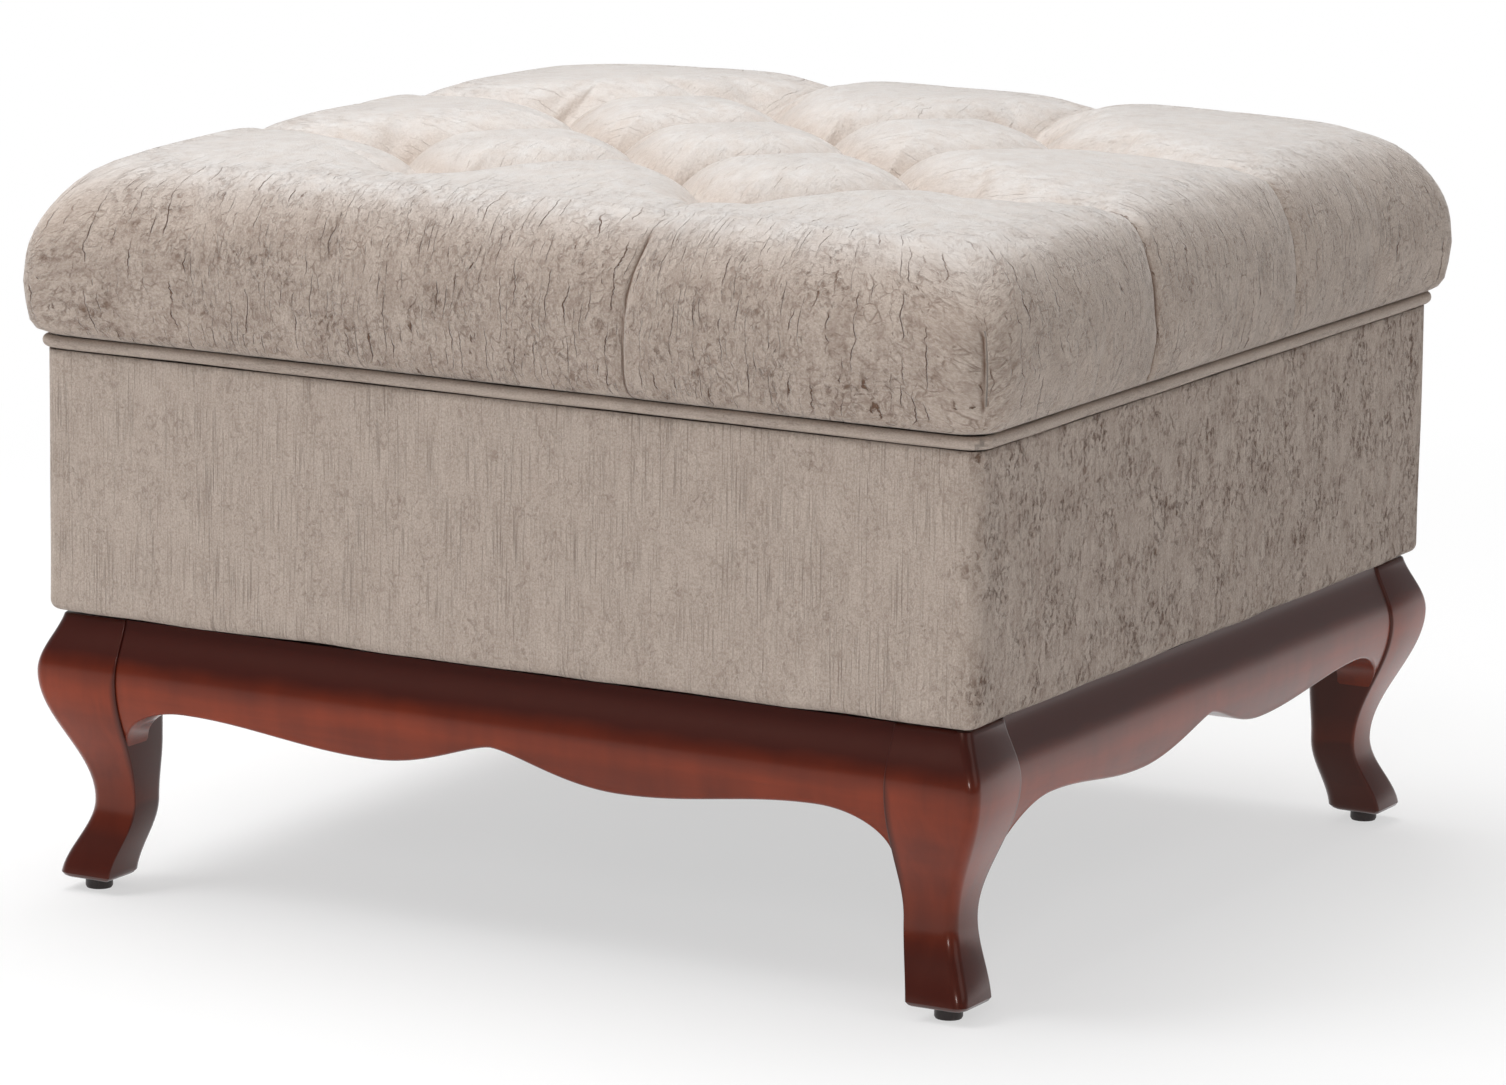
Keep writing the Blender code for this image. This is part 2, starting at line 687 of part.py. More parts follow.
# Tufts: where the buttons are, and the folds and pleats between them
def tuft_places():
    """Buttons on a diamond grid: rows of two and of three, one pitch apart."""
    places = []
    for row, count in enumerate(TUFT_ROWS):
        y = (row - (len(TUFT_ROWS) - 1) / 2) * TUFT_PITCH + TUFT_SHIFT_Y
        for i in range(count):
            places.append(((2 * i - count + 1) * TUFT_PITCH + TUFT_SHIFT_X, y))
    return places


def tuft_folds():
    """Diagonal folds between neighbouring buttons, and straight ones out to the edges, with depths."""
    places = tuft_places()
    folds = []
    for i, (ax, ay) in enumerate(places):
        for bx, by in places[i + 1:]:
            near = abs(abs(bx - ax) - TUFT_PITCH) < FIT_GAP and abs(abs(by - ay) - TUFT_PITCH) < FIT_GAP
            if near:
                folds.append(((ax, ay), (bx, by), FOLD_DEPTH))
    for x, y in places:
        if abs(y) > 1.5 * TUFT_PITCH:
            folds.append(((x, y), (x, math.copysign(HALF_DEPTH, y)), EDGE_FOLD_DEPTH))
        if abs(x) > 1.5 * TUFT_PITCH:
            folds.append(((x, y), (math.copysign(HALF_WIDTH, x), y), EDGE_FOLD_DEPTH))
    return folds


TUFTS = tuft_places()
FOLDS = tuft_folds()


def fall(distance, reach):
    """Pillow profile: 1 on a fold, rounding off to 0 at its reach and beyond."""
    return (1 - min(distance / reach, 1.0)) ** 3


def fold_drop(x, y):
    """How far the folds draw the top down at a place in plan."""
    deepest = 0.0
    for (ax, ay), (bx, by), depth in FOLDS:
        run_x, run_y = bx - ax, by - ay
        share = ((x - ax) * run_x + (y - ay) * run_y) / (run_x * run_x + run_y * run_y)
        share = min(max(share, 0.0), 1.0)
        distance = math.hypot(x - ax - share * run_x, y - ay - share * run_y)
        deepest = max(deepest, depth * fall(distance, FOLD_REACH))
    return deepest


def corner_drop(x, y):
    """Extra fall of the cushion toward its four corners."""
    return CUSHION_CORNER_DROP * (x / HALF_WIDTH) ** 4 * (y / HALF_DEPTH) ** 4


def tufted_height(x, y):
    """Height of the cushion's top face."""
    crown = CUSHION_CROWN * (1 - (x / HALF_WIDTH) ** 2) * (1 - (y / HALF_DEPTH) ** 2)
    nearest = min(math.hypot(x - tx, y - ty) for tx, ty in TUFTS)
    drop = fold_drop(x, y) + PIT_DEPTH * fall(nearest, PIT_REACH) + corner_drop(x, y)
    return CREST_HEIGHT - CUSHION_CROWN + max(crown, 0.0) - drop


# Cushion cover
def grid_lines(half_size, shift):
    """Grid lines through the buttons, closer together beside each one, out to the edge roll."""
    stops = [-half_size] + [k * TUFT_PITCH + shift for k in range(-2, 3)] + [half_size]
    lines = []
    for low, high in zip(stops, stops[1:]):
        lines += [low + (high - low) * share for share in (0.0, TUFT_LINE_SHARE, 1 - TUFT_LINE_SHARE)]
    return lines + [half_size]


def round_corner(x, y, half_x, half_y, radius):
    """Move a grid point into the rounded corner of a rectangle."""
    past_x = abs(x) - (half_x - radius)
    past_y = abs(y) - (half_y - radius)
    if past_x <= 0 or past_y <= 0:
        return x, y
    shrink = max(past_x, past_y) / math.hypot(past_x, past_y)
    new_x = half_x - radius + past_x * shrink
    new_y = half_y - radius + past_y * shrink
    return math.copysign(new_x, x), math.copysign(new_y, y)


def side_profile():
    """(inset from the widest outline, height) down the cushion's side, from the top's edge."""
    rolled = [(CUSHION_EDGE_ROLL * inset, TUCK_HEIGHT + CUSHION_CREST * rise) for inset, rise in ROLL_SHARES]
    tucked = [(CUSHION_OVERHANG * inset, TUCK_HEIGHT + CUSHION_CREST * rise) for inset, rise in TUCK_SHARES]
    return rolled + tucked


def pleat_pull(x, y, share):
    """How far the side is drawn in at a pleat; share is 1 at the top and 0 at the welt."""
    nearest = BODY_WIDTH
    for tx, ty in TUFTS:
        if abs(ty) > 1.5 * TUFT_PITCH and y * ty > 0 and abs(y) > abs(ty):
            nearest = min(nearest, abs(x - tx))
        if abs(tx) > 1.5 * TUFT_PITCH and x * tx > 0 and abs(x) > abs(tx):
            nearest = min(nearest, abs(y - ty))
    return PLEAT_DEPTH * share * fall(nearest, PLEAT_REACH)


def cushion_outline(xs, ys):
    """Index pairs round the edge of the grid, counter-clockwise."""
    last_x, last_y = len(xs) - 1, len(ys) - 1
    loop = [(i, 0) for i in range(last_x)]
    loop += [(last_x, j) for j in range(last_y)]
    loop += [(i, last_y) for i in range(last_x, 0, -1)]
    loop += [(0, j) for j in range(last_y, 0, -1)]
    return loop


def split_along_valley(work, corners):
    """Two triangles for a grid cell, sharing its lower diagonal."""
    a, b, c, d = corners
    if a.co.z + c.co.z <= b.co.z + d.co.z:
        work.faces.new((a, b, c))
        work.faces.new((a, c, d))
    else:
        work.faces.new((a, b, d))
        work.faces.new((b, c, d))


def cushion_skin():
    """Outer form of the cushion: tufted top, rolled edges, drawn-in sides and flat underside."""
    half_x = HALF_WIDTH + CUSHION_OVERHANG
    half_y = HALF_DEPTH + CUSHION_OVERHANG
    top_x = half_x - CUSHION_EDGE_ROLL
    top_y = half_y - CUSHION_EDGE_ROLL
    xs = grid_lines(top_x, TUFT_SHIFT_X)
    ys = grid_lines(top_y, TUFT_SHIFT_Y)
    work = bmesh.new()
    top = {}
    for i, x in enumerate(xs):
        for j, y in enumerate(ys):
            px, py = round_corner(x, y, top_x, top_y, CUSHION_CORNER_RADIUS)
            top[i, j] = work.verts.new((px, py, tufted_height(px, py)))
    for i in range(len(xs) - 1):
        for j in range(len(ys) - 1):
            split_along_valley(work, (top[i, j], top[i + 1, j], top[i + 1, j + 1], top[i, j + 1]))
    outline = cushion_outline(xs, ys)
    upper = [top[key] for key in outline]
    profile = side_profile()
    for level, (inset, height) in enumerate(profile):
        share = 1 - level / (len(profile) - 1)
        lower = []
        for i, j in outline:
            pull = pleat_pull(xs[i], ys[j], share)
            wide_x = half_x - inset
            wide_y = half_y - inset
            x, y = round_corner(
                xs[i] * wide_x / top_x if i in (0, len(xs) - 1) else xs[i],
                ys[j] * wide_y / top_y if j in (0, len(ys) - 1) else ys[j],
                wide_x, wide_y, CUSHION_CORNER_RADIUS - inset * 0.5,
            )
            if i in (0, len(xs) - 1):
                x -= math.copysign(pull, x)
            if j in (0, len(ys) - 1):
                y -= math.copysign(pull, y)
            lower.append(work.verts.new((x, y, height - share * corner_drop(x, y))))
        for k in range(len(outline)):
            n = (k + 1) % len(outline)
            work.faces.new((upper[k], lower[k], lower[n], upper[n]))
        upper = lower
    work.faces.new(list(reversed(upper)))
    return finish_mesh("cushion", work, smooth_angle=60)


def core_rings(spare, bottom):
    """Foam block with eased edges, grown by some spare room for the hollow that holds it."""
    wide_x = HALF_WIDTH + CUSHION_OVERHANG - FOAM_SIDE_COVER + spare
    wide_y = HALF_DEPTH + CUSHION_OVERHANG - FOAM_SIDE_COVER + spare
    flare = TUCK_HEIGHT + COVER_CLOTH
    radius = CUSHION_CORNER_RADIUS
    return [
        body_ring(CARCASE_INSET - spare, bottom),
        body_ring(CARCASE_INSET - spare, flare),
        rounded_ring(wide_x, wide_y, radius, flare + FOAM_EDGE),
        rounded_ring(wide_x, wide_y, radius, FOAM_TOP - FOAM_EDGE + spare),
        rounded_ring(wide_x - FOAM_EDGE, wide_y - FOAM_EDGE, radius, FOAM_TOP + spare),
    ]


def foam_mesh():
    return loft("foam", core_rings(0.0, FOAM_BOTTOM), smooth_angle=30)


def cover_hollow_mesh():
    """Hollow of the cushion cover, open below."""
    return loft("hollow", core_rings(FIT_GAP, HEM_BOTTOM - HEM_DEPTH))


def make_tufted_cover(materials):
    cover = add_object("tufted_cover", cushion_skin(), materials["velvet"])
    inset = hem_outer_inset()
    hem = loft("hem", [body_ring(inset, HEM_BOTTOM), body_ring(inset, TUCK_HEIGHT + COVER_CLOTH)])
    combine(cover, hem, "UNION")
    combine(cover, cover_hollow_mesh(), "DIFFERENCE")
    cover.data.shade_smooth()
    cover.data.set_sharp_from_angle(angle=math.radians(60))
    return cover


# Buttons, each with its twine down to a knot under the deck
def button_seat(x, y):
    """Height of a button's underside when its rim just clears the sides of its pit."""
    floor = tufted_height(x, y)
    run = TUFT_PITCH * TUFT_LINE_SHARE
    sides = [tufted_height(x + dx * run, y + dy * run) for dx, dy in ((1, 0), (-1, 0), (0, 1), (0, -1))]
    slope = (max(sides) - floor) / run
    lift = max(slope * BUTTON_RADIUS - BUTTON_RIM_HEIGHT, slope * BUTTON_RADIUS * BUTTON_BACK_SHARE)
    return floor + lift + FIT_GAP


def make_buttons(materials, threaded):
    wide = TWINE_RADIUS + FIT_GAP
    knot_top = DECK_BOTTOM - FIT_GAP
    hole = hole_mesh(wide, DECK_BOTTOM - CUT_PAST, CREST_HEIGHT + CUT_PAST, BUTTON_FACETS)
    holes = many("holes", hole, [Matrix.Translation((x, y, 0)) for x, y in TUFTS])
    for piece in threaded:
        combine(piece, holes.copy(), "DIFFERENCE")
    for number, (x, y) in enumerate(TUFTS, start=1):
        seat = button_seat(x, y)
        profile = [
            (TWINE_RADIUS, knot_top - TWINE_KNOT_HEIGHT - FIT_GAP),
            (TWINE_KNOT_RADIUS, knot_top - TWINE_KNOT_HEIGHT),
            (TWINE_KNOT_RADIUS, knot_top),
            (TWINE_RADIUS, knot_top),
            (TWINE_RADIUS, seat),
            (BUTTON_RADIUS * BUTTON_BACK_SHARE, seat),
            (BUTTON_RADIUS, seat + BUTTON_RIM_HEIGHT),
            (BUTTON_RADIUS * BUTTON_SHOULDER_OUT, seat + BUTTON_HEIGHT * BUTTON_SHOULDER_UP),
            (0, seat + BUTTON_HEIGHT),
        ]
        mesh = turned("button", profile, BUTTON_FACETS)
        add_object("tuft_button_%02d" % number, mesh, materials["velvet"], (x, y, 0))


def build_stool():
    clear_scene()
    materials = make_materials()
    make_legs(materials)
    make_glides(materials)
    make_aprons(materials)
    make_box(materials)
    deck = make_deck(materials)
    make_side_padding(materials)
    make_side_cover(materials)
    make_dust_cover(materials)
    make_blocks_and_screws(materials)
    make_welt(materials)
    foam = add_object("foam_core", foam_mesh(), materials["foam"])
    cover = make_tufted_cover(materials)
    make_buttons(materials, (deck, foam, cover))


build_stool()
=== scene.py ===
"""Looks of the upholstered stool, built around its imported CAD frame.

Metres, +Z up. The front is -Y and the right is +X, as in the part's source.
"""

import math

import bmesh
import bpy
import numpy as np
from mathutils import Matrix, Vector, noise


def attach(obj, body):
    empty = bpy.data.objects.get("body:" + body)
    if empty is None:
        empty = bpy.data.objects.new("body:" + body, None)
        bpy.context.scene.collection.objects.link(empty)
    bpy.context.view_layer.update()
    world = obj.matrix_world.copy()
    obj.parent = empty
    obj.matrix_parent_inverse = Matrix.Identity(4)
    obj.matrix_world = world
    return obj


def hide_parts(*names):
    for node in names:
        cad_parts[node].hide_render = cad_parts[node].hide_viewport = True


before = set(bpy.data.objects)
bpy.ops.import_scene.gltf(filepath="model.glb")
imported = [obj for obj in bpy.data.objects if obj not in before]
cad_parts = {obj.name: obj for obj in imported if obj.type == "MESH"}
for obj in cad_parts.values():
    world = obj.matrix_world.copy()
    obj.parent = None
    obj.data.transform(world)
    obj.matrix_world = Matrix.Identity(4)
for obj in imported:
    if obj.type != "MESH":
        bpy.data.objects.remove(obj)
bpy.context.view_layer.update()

# Camera: a long lens, a little above the cushion, looking at the corner between the front and right faces.
# It stands four metres away, where the photograph's own camera was worked out to be.
CAMERA_TARGET = Vector((0.075, -0.137, 0.22))
CAMERA_DISTANCE = 4.059
CAMERA_YAW, CAMERA_PITCH, CAMERA_ROLL = 28.58, 11.10, 0.91


def new_object(name, data):
    """Object with the given mesh, light or camera, in the scene."""
    made = bpy.data.objects.new(name, data)
    bpy.context.scene.collection.objects.link(made)
    return made


camera = new_object("camera", bpy.data.cameras.new("camera"))
camera.data.sensor_width = 36
camera.data.lens = 169.55
camera_turn = (
    Matrix.Rotation(math.radians(CAMERA_YAW), 4, "Z")
    @ Matrix.Rotation(math.radians(90 - CAMERA_PITCH), 4, "X")
    @ Matrix.Rotation(math.radians(CAMERA_ROLL), 4, "Z")
)
camera_back = camera_turn.col[2].to_3d()
camera.matrix_world = Matrix.Translation(CAMERA_TARGET + camera_back * CAMERA_DISTANCE) @ camera_turn
bpy.context.scene.camera = camera


# Legs: four carved mahogany legs, stained and lacquered. Each swings out at the knee, in at the ankle
# and out to a pointed toe, and stands a little proud of the aprons tenoned into it.
HALF_BODY = 0.3015
FRAME_HEIGHT = 0.165
LEG_BLOCK = 0.0515
LEG_FACE = ((0.006, -0.0045), (0.053, -0.019), (0.131, 0.005), (0.172, -0.0075))
LEG_INSIDE = ((0.006, -0.0405), (0.053, -0.050), (0.090, -LEG_BLOCK))
LEG_ARRIS_RADIUS, LEG_INNER_RADIUS = 0.007, 0.008
LEG_FRONT_EDGE, LEG_SIDE_EDGE = 0.0007, 0.0022
LEG_TOP_BEVEL = 0.0008
SOLE_HEIGHT, SOLE_BEVEL = 0.0081, 0.0025
MAHOGANY_DARK = (0.043, 0.0042, 0.0022)
MAHOGANY_LIGHT = (0.318, 0.0410, 0.0090)
# Painted shade on the frame: darker up under the cushion, at the feet and on the legs' inner faces, drifting
# with a slow noise
PAINTED_SHADE_DRIFT = 0.012
PAINTED_SHADE_TOP, PAINTED_SHADE_FOOT = (0.126, 0.146), (0.075, 0.032)
PAINTED_SHADE_INSIDE, PAINTED_SHADE_ANKLE = (0.2508, 0.2545), (0.006, 0.053, 0.011, 0.0)
CORNERS = {"front_left": (-1, -1), "front_right": (1, -1), "back_right": (1, 1), "back_left": (-1, 1)}
GRAIN_ALONG_X = (0, 0, 0)
GRAIN_ALONG_Y = (0, 0, math.radians(-90))
GRAIN_ALONG_Z = (0, math.radians(90), 0)
SURFACE_OUTPUTS = {"Color": "Color", "Roughness": "Float", "Height": "Float"}


def fill(inputs, values):
    """Fill a node's inputs from numbers or from other nodes' outputs."""
    for key, value in values.items():
        if isinstance(value, bpy.types.NodeSocket):
            value.id_data.links.new(value, inputs[key])
        else:
            inputs[key].default_value = value


def put(tree, kind, inputs=None, **settings):
    """Add a node, set its options and fill its inputs."""
    node = tree.nodes.new(kind)
    for name, value in settings.items():
        setattr(node, name, value)
    fill(node.inputs, inputs or {})
    return node


def work_out(operation, *values):
    """Output of a math node over up to three values, one of them at least another node's output."""
    tree = next(value for value in values if isinstance(value, bpy.types.NodeSocket)).id_data
    return put(tree, "ShaderNodeMath", dict(enumerate(values)), operation=operation).outputs[0]


def times(first, *others):
    for other in others:
        first = work_out("MULTIPLY", first, other)
    return first


def greatest(first, *others):
    for other in others:
        first = work_out("MAXIMUM", first, other)
    return first


def scaled(value, factor, shift):
    """The value times the factor, plus the shift."""
    return work_out("MULTIPLY_ADD", value, factor, shift)


def ramp(value, low, high, start=0.0, end=1.0):
    """Map a value from one range to another, held at both ends."""
    inputs = {"Value": value, "From Min": low, "From Max": high, "To Min": start, "To Max": end}
    return put(value.id_data, "ShaderNodeMapRange", inputs, clamp=True).outputs["Result"]


def mixed(share, first, second):
    """Blend two colours."""
    return put(share.id_data, "ShaderNodeMix", {0: share, 6: first, 7: second}, data_type="RGBA").outputs[2]


def stretched_noise(place, sizes, detail=2.0, roughness=0.5, distortion=0.0):
    """Noise whose spots have the given sizes along the pattern's three axes."""
    scale = [1 / size for size in sizes]
    point = put(place.id_data, "ShaderNodeMapping", {"Vector": place, "Scale": scale}).outputs[0]
    shape = {"Detail": detail, "Roughness": roughness, "Distortion": distortion}
    return put(place.id_data, "ShaderNodeTexNoise", {"Vector": point, "Scale": 1.0, **shape}).outputs["Fac"]


def vector(tree, operation, inputs):
    """Output of a vector math node."""
    return put(tree, "ShaderNodeVectorMath", inputs, operation=operation).outputs[0]


def new_group(name, kind, inputs, outputs):
    """Node group with named sockets, what it is given and what it makes; a number stands for a Float."""
    tree = bpy.data.node_groups.new(name, kind)
    for direction, sockets in (("INPUT", inputs), ("OUTPUT", outputs)):
        for label, what in sockets.items():
            plain = isinstance(what, float)
            socket_type = "NodeSocket" + ("Float" if plain else what)
            made = tree.interface.new_socket(label, in_out=direction, socket_type=socket_type)
            if plain:
                made.default_value = what
    return tree, tree.nodes.new("NodeGroupInput").outputs, tree.nodes.new("NodeGroupOutput").inputs


def make_grain_group():
    """Wood grain along the pattern's X axis: fine pores, growth bands, ribbon figure, and painted shade that
    darkens it.
    """
    inputs = {"Place": "Vector", "Dark": "Color", "Light": "Color", "Gloss": 0.3, "Painted shade": 0.0}
    tree, given, result = new_group("wood_grain", "ShaderNodeTree", inputs, SURFACE_OUTPUTS)
    bands = stretched_noise(given["Place"], (0.25, 0.012, 0.012), 3.0, 0.55, 0.4)
    pores = stretched_noise(given["Place"], (0.009, 0.0006, 0.0006))
    tone = stretched_noise(given["Place"], (0.20, 0.07, 0.07), 1.0)
    ribbon = stretched_noise(given["Place"], (0.016, 0.09, 0.09))
    pored = ramp(pores, 0.58, 0.74)
    share = scaled(ramp(bands, 0.32, 0.68), 0.18, ramp(tone, 0.3, 0.7, 0.20, 0.52))
    share = scaled(ramp(ribbon, 0.30, 0.70), 0.18, share)
    bare = mixed(times(share, scaled(pored, -0.10, 1.0)), given["Dark"], given["Light"])
    rough = scaled(ramp(bands, 0.3, 0.7, -0.5, 0.5), 0.05, given["Gloss"])
    # Painted shade: the wood mixed towards its dark colour
    with_painted_shade = mixed(given["Painted shade"], bare, given["Dark"])
    fill(result, {"Color": with_painted_shade, "Roughness": scaled(pored, 0.03, rough), "Height": times(pored, -1.0)})
    return tree


WOOD_GRAIN = make_grain_group()


def new_material(name):
    material = bpy.data.materials.new(name)
    material.use_nodes = True
    return material, material.node_tree, material.node_tree.nodes["Principled BSDF"]


def raise_height(shader, height, depth):
    """Feed a height into the shader's normal."""
    bump = put(shader.id_data, "ShaderNodeBump", {"Height": height, "Distance": depth})
    fill(shader.inputs, {"Normal": bump.outputs["Normal"]})


def dress(shader, group, inputs, depth):
    """Feed a surface group's colour, roughness and height into the shader."""
    surface = put(shader.id_data, "ShaderNodeGroup", inputs, node_tree=group).outputs
    fill(shader.inputs, {"Base Color": surface["Color"], "Roughness": surface["Roughness"]})
    raise_height(shader, surface["Height"], depth)


def wood_material(name, turn, dark, light, gloss, painted_shade=None):
    """Wood whose grain runs along the axis that the turn brings to X, with painted shade by its place if
    given.
    """
    material, tree, shader = new_material(name)
    place = put(tree, "ShaderNodeTexCoord").outputs["Object"]
    turned = put(tree, "ShaderNodeMapping", {"Vector": place, "Rotation": turn}).outputs[0]
    inputs = {"Place": turned, "Dark": (*dark, 1), "Light": (*light, 1), "Gloss": gloss}
    if painted_shade:
        inputs["Painted shade"] = painted_shade(place, turn)
    dress(shader, WOOD_GRAIN, inputs, 0.000012)
    return material


def frame_painted_shade(place, turn):
    """Painted shade that darkens the top of the frame under the cushion, the feet and the inner side of the
    legs.
    """
    away = vector(place.id_data, "ABSOLUTE", {0: place})
    sides = put(place.id_data, "ShaderNodeSeparateXYZ", {0: away}).outputs
    drift = stretched_noise(place, (0.05, 0.05, 0.03))
    height = scaled(drift, PAINTED_SHADE_DRIFT, work_out("SUBTRACT", sides["Z"], PAINTED_SHADE_DRIFT / 2))
    painted_shade = greatest(ramp(height, *PAINTED_SHADE_TOP), ramp(height, *PAINTED_SHADE_FOOT, 0.0, 0.90))
    if turn != GRAIN_ALONG_Z:
        return painted_shade
    near = work_out("MINIMUM", sides["X"], sides["Y"])
    inside = work_out("SUBTRACT", near, ramp(height, *PAINTED_SHADE_ANKLE))
    return greatest(painted_shade, ramp(inside, *PAINTED_SHADE_INSIDE, 0.95, 0.0))


def lacquered(name, turn):
    """Mahogany under a satin lacquer, darkened by painted shade."""
    material = wood_material(name, turn, MAHOGANY_DARK, MAHOGANY_LIGHT, 0.31, frame_painted_shade)
    lacquer = {
        "Specular IOR Level": 0.32,
        "Specular Tint": (1.0, 0.55, 0.42, 1),
        "Coat Weight": 0.66,
        "Coat IOR": 1.35,
        "Coat Roughness": 0.13,
    }
    fill(material.node_tree.nodes["Principled BSDF"].inputs, lacquer)
    return material


def level_ease(stations, at):
    """Value at a height between (height, value) stations, level at each station."""
    at = max(at, stations[0][0])
    for (low, low_value), (high, high_value) in zip(stations, stations[1:]):
        if at <= high:
            share = 0.5 - 0.5 * math.cos(math.pi * (at - low) / (high - low))
            return low_value + (high_value - low_value) * share
    return stations[-1][1]


def arc(cx, cy, radius, start, stop, steps):
    """Points of an arc, in degrees, ends included."""
    angles = [math.radians(start + (stop - start) * i / steps) for i in range(steps + 1)]
    return [(cx + radius * math.cos(a), cy + radius * math.sin(a)) for a in angles]


def finished_mesh(name, work, sharp_angle):
    """Mesh of a closed shape, with its faces outwards and shaded smooth between its sharp edges."""
    bmesh.ops.recalc_face_normals(work, faces=work.faces)
    mesh = bpy.data.meshes.new(name)
    work.to_mesh(mesh)
    work.free()
    mesh.shade_smooth()
    mesh.set_sharp_from_angle(angle=math.radians(sharp_angle))
    return mesh


def skin(name, rings, ends="filled"):
    """Skin a stack of point rings; the ends are filled, or joined to each other."""
    work = bmesh.new()
    rows = [[work.verts.new(point) for point in ring] for ring in rings]
    pairs = list(zip(rows, rows[1:]))
    if ends == "joined":
        pairs.append((rows[-1], rows[0]))
    for lower, upper in pairs:
        for i in range(len(lower)):
            j = (i + 1) % len(lower)
            work.faces.new((lower[i], lower[j], upper[j], upper[i]))
    if ends == "filled":
        work.faces.new(rows[0][::-1])
        work.faces.new(rows[-1])
    return finished_mesh(name, work, 35)


def add_piece(name, mesh, material, replaced):
    """Put a finished mesh in the scene as a piece of the stool."""
    if material is not None:
        mesh.materials.clear()
        mesh.materials.append(material)
    piece = new_object(name, mesh)
    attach(piece, "root")
    if replaced:
        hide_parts(*replaced)
    return piece


def leg_section(height, shrink, first, second):
    """Outline of the leg in the corner that looks to +X and +Y; first and second round its apron edges."""
    outer = level_ease(LEG_FACE, height) - shrink
    inner = level_ease(LEG_INSIDE, height) + shrink
    middle = inner + LEG_INNER_RADIUS
    points = arc(middle, middle, LEG_INNER_RADIUS, 180, 270, 6)
    points += arc(outer - first, inner + first, first, 270, 360, 4)
    points += arc(outer - LEG_ARRIS_RADIUS, outer - LEG_ARRIS_RADIUS, LEG_ARRIS_RADIUS, 0, 90, 10)
    points += arc(inner + second, outer - second, second, 90, 180, 4)
    return [(x, y, height) for x, y in points]


def side_place(sx, sy, degrees):
    """Matrix that turns a shape and moves it out to a side or corner of the stool."""
    turn = Matrix.Rotation(math.radians(degrees), 4, "Z")
    return Matrix.Translation((sx * HALF_BODY, sy * HALF_BODY, 0)) @ turn


def corner_place(name):
    """Matrix that takes a shape made for the +X +Y corner to another corner."""
    return side_place(*CORNERS[name], 90 * (list(CORNERS).index(name) - 2))


leg_wood = lacquered("mahogany_legs", GRAIN_ALONG_Z)
sole_curve = ((0, 1), (0.3, 0.5), (1, 0))
sole_rounding = [(SOLE_HEIGHT + SOLE_BEVEL * rise, SOLE_BEVEL * cut) for rise, cut in sole_curve]
leg_rise = np.linspace(SOLE_HEIGHT + SOLE_BEVEL, FRAME_HEIGHT - LEG_TOP_BEVEL, 72)[1:]
leg_levels = sole_rounding + [(height, 0) for height in leg_rise] + [(FRAME_HEIGHT, LEG_TOP_BEVEL)]
for corner, (sx, sy) in CORNERS.items():
    edges = (LEG_SIDE_EDGE, LEG_FRONT_EDGE) if sx == sy else (LEG_FRONT_EDGE, LEG_SIDE_EDGE)
    leg_mesh = skin("leg", [leg_section(height, cut, *edges) for height, cut in leg_levels])
    leg_mesh.transform(corner_place(corner))
    add_piece("carved_leg_" + corner, leg_mesh, leg_wood, ["leg_" + corner])


# Glides: dark moulded plastic discs under the feet, so that the toes keep clear of the floor. Each has
# a pin that is driven up into its foot.
GLIDE_RADIUS = 0.008
GLIDE_HEIGHT = 0.0078
GLIDE_PIN_RADIUS = 0.0014
GLIDE_PIN_LENGTH = 0.015
GLIDE_FROM_SIDE = -0.022559


def spotted_material(name, spots, first, second, roughness, share=None, raised=None, depth=0.0, metallic=0.0):
    """Material that goes from one colour to another over spots of noise.

    The share and the roughness may be ramps over the noise. Raised works out the height from place and noise.
    """
    material, tree, shader = new_material(name)
    place = put(tree, "ShaderNodeTexCoord").outputs["Object"]
    spread = stretched_noise(place, *spots)
    colour = mixed(ramp(spread, *share) if share else spread, (*first, 1), (*second, 1))
    rough = ramp(spread, *roughness) if isinstance(roughness, tuple) else roughness
    fill(shader.inputs, {"Base Color": colour, "Roughness": rough, "Metallic": metallic})
    if raised:
        raise_height(shader, raised(place, spread), depth)
    return material


def lathe(name, profile, facets):
    """Turn (radius, height) points about Z; a radius of 0 closes the end in a point."""
    work = bmesh.new()
    rows = []
    for radius, height in profile:
        angles = [2 * math.pi * i / facets for i in range(facets if radius else 1)]
        rows.append([work.verts.new((radius * math.cos(a), radius * math.sin(a), height)) for a in angles])
    for lower, upper in zip(rows, rows[1:]):
        for i in range(facets):
            steps = ((lower, i), (lower, i + 1), (upper, i + 1), (upper, i))
            around = [row[k % len(row)] for row, k in steps]
            work.faces.new(list(dict.fromkeys(around)))
    for row in (rows[0][::-1], rows[-1]):
        if len(row) > 1:
            work.faces.new(row)
    return finished_mesh(name, work, 40)


def finish_geometry(geometry, given, result):
    """End a geometry tree: real geometry with the given finish on it."""
    tree = geometry.id_data
    real = put(tree, "GeometryNodeRealizeInstances", {"Geometry": geometry}).outputs[0]
    finished = put(tree, "GeometryNodeSetMaterial", {"Geometry": real, "Material": given["Finish"]})
    fill(result, {0: finished.outputs[0]})


